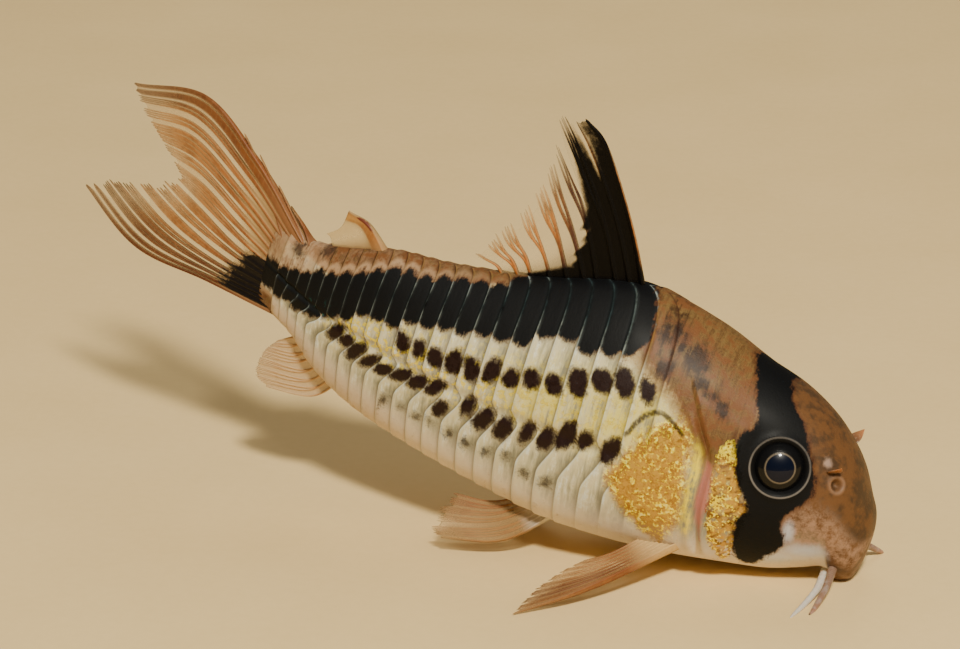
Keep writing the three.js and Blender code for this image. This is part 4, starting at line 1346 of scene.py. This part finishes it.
# The anal fin: pale skin on fine branched rays, close together behind one that isn't branched.
# It grows from the middle of the belly, behind the vent.
ANAL = PLAIN_FIN | {
    "guides": on_middle(
        [(0, 39.6, 2.2), (1, 43.4, 4.4)],
        [(0, 41.6, 0.1), (1, 44.3, 3.7)],
        [(0, 45.3, -1.0), (0.2, 46.5, -0.5), (0.6, 46.3, 1.4), (1, 45.3, 2.9)],
    ),
    "columns": 150, "rows": 80, "rays": 8, "width": 0.14, "seed": 3, "splits": (0.3, 0.6),
    "fork": 0.2, "notch": [(0, 0.02), (1, 0.02)], "spine": 0.04,
}
ANAL_TONES = [
    (0.62, 0.46, 0.28), (0.56, 0.33, 0.15), (0.60, 0.40, 0.2), (0.66, 0.47, 0.26),
    (0.30, 0.12, 0.05), (0.46, 0.19, 0.07),
]
pale_finish = fin_finish("pale_fin_skin", ANAL_TONES, 0.7, 0.3, 22)
build_fin("anal_fin_rays", "anal_fin", ANAL, pale_finish)

# The adipose fin: a short orange spine on the back of the stalk, with a little sail of clear
# skin behind it and no rays
ADIPOSE = PLAIN_FIN | {
    "guides": on_middle(
        [(0, 38.2, 12.9), (1, 42.6, 11.3)],
        [(0, 40.2, 14.5), (1, 43.0, 12.2)],
        [(0, 42.1, 14.8), (0.4, 42.4, 13.4), (1, 43.4, 12.4)],
    ),
    "columns": 70, "rows": 60, "rays": 2, "drawn": 1, "whole": (1, 1), "stout": 1.0, "width": 0.11,
    "thin": 0.3, "seed": 4, "fray": 0.0, "notch": [(0, 0), (1, 0)], "spine": 0.24,
    "ray_stand": 0.06, "root": 0.12, "brown": lambda u, v: bell(u, 0.06) * v,
    "dark": lambda u, v: 0.9 * bell(u - 0.04, 0.04) * bell(v - 0.6, 0.25),
}
ADIPOSE_TONES = [
    (0.34, 0.18, 0.07), (0.36, 0.15, 0.04), (0.50, 0.26, 0.07), (0.64, 0.46, 0.2),
    (0.13, 0.03, 0.015), (0.24, 0.08, 0.02),
]
adipose_finish = fin_finish("adipose_fin_skin", ADIPOSE_TONES, 0.45, 0.0, 12)
build_fin("adipose_fin_rays", "adipose_fin", ADIPOSE, adipose_finish)

# The paired fins: brown skin on branched rays, behind a stout spine on the pectorals, which prop
# the fish up on the floor, and behind a soft ray on the pelvics
PECTORAL = PLAIN_FIN | {
    "guides": [
        [(0, 12.2, 3.9, 1.7), (1, 14.8, 3.9, 1.4)],
        [(0, 16.6, 9.4, -0.75), (1, 16.7, 5.9, 0.2)],
        [(0, 20.9, 13, -2.9), (0.4, 20.4, 11, -1.9), (0.7, 19.4, 9, -0.95), (1, 18.2, 7.4, -0.2)],
    ],
    "columns": 170, "rows": 110, "rays": 9, "stout": 1.3, "width": 0.16, "thin": 0.55, "seed": 2,
    "splits": (0.25, 0.55), "fork": 0.18, "fray": 0.5, "inset": 0.24, "spine": 0.2,
    "notch": [(0, 0.02), (0.2, 0.04), (1, 0.06)], "ray_stand": 0.12, "root": 0.05,
    "brown": lambda u, v: bell(u - 0.3, 0.2) * ramp(v, 0.1, 0.45),
}
PELVIC = PLAIN_FIN | {
    "guides": [
        [(0, 21.4, 2.3, 0.2), (1, 23.6, 1.5, 0.6)],
        [(0, 24.4, 3.8, -2.5), (1, 26.2, 2.1, -0.7)],
        [(0, 28.4, 5, -3.3), (0.3, 29.2, 4.6, -3.1), (0.6, 29.3, 3.8, -2.2), (1, 28.9, 2.3, -1)],
    ],
    "columns": 150, "rows": 90, "rays": 7, "seed": 6, "fray": 0.8, "inset": 0.12,
    "notch": [(0, 0.03), (1, 0.08)], "brown": lambda u, v: 0.7 * ramp(u, 0.55, 0.95),
}
PECTORAL_TONES = [
    (0.62, 0.43, 0.18), (0.26, 0.09, 0.025), (0.32, 0.14, 0.04), (0.40, 0.22, 0.08),
    (0.14, 0.05, 0.025), (0.13, 0.038, 0.013),
]
PELVIC_TONES = [
    (0.80, 0.76, 0.64), (0.30, 0.15, 0.05), (0.32, 0.17, 0.06), (0.38, 0.23, 0.09),
    (0.2, 0.08, 0.04), (0.24, 0.09, 0.035),
]
pectoral_finish = fin_finish("pectoral_fin_skin", PECTORAL_TONES, 0.5, 0.35, 26)
pelvic_finish = fin_finish("pelvic_fin_skin", PELVIC_TONES, 0.52, 0.5, 24)
for name, side in SIDES:
    pectoral, pelvic = f"pectoral_fin_{name}", f"pelvic_fin_{name}"
    build_fin(f"pectoral_rays_{name}", pectoral, PECTORAL, pectoral_finish, side)
    build_fin(f"pelvic_rays_{name}", pelvic, PELVIC, pelvic_finish, side)
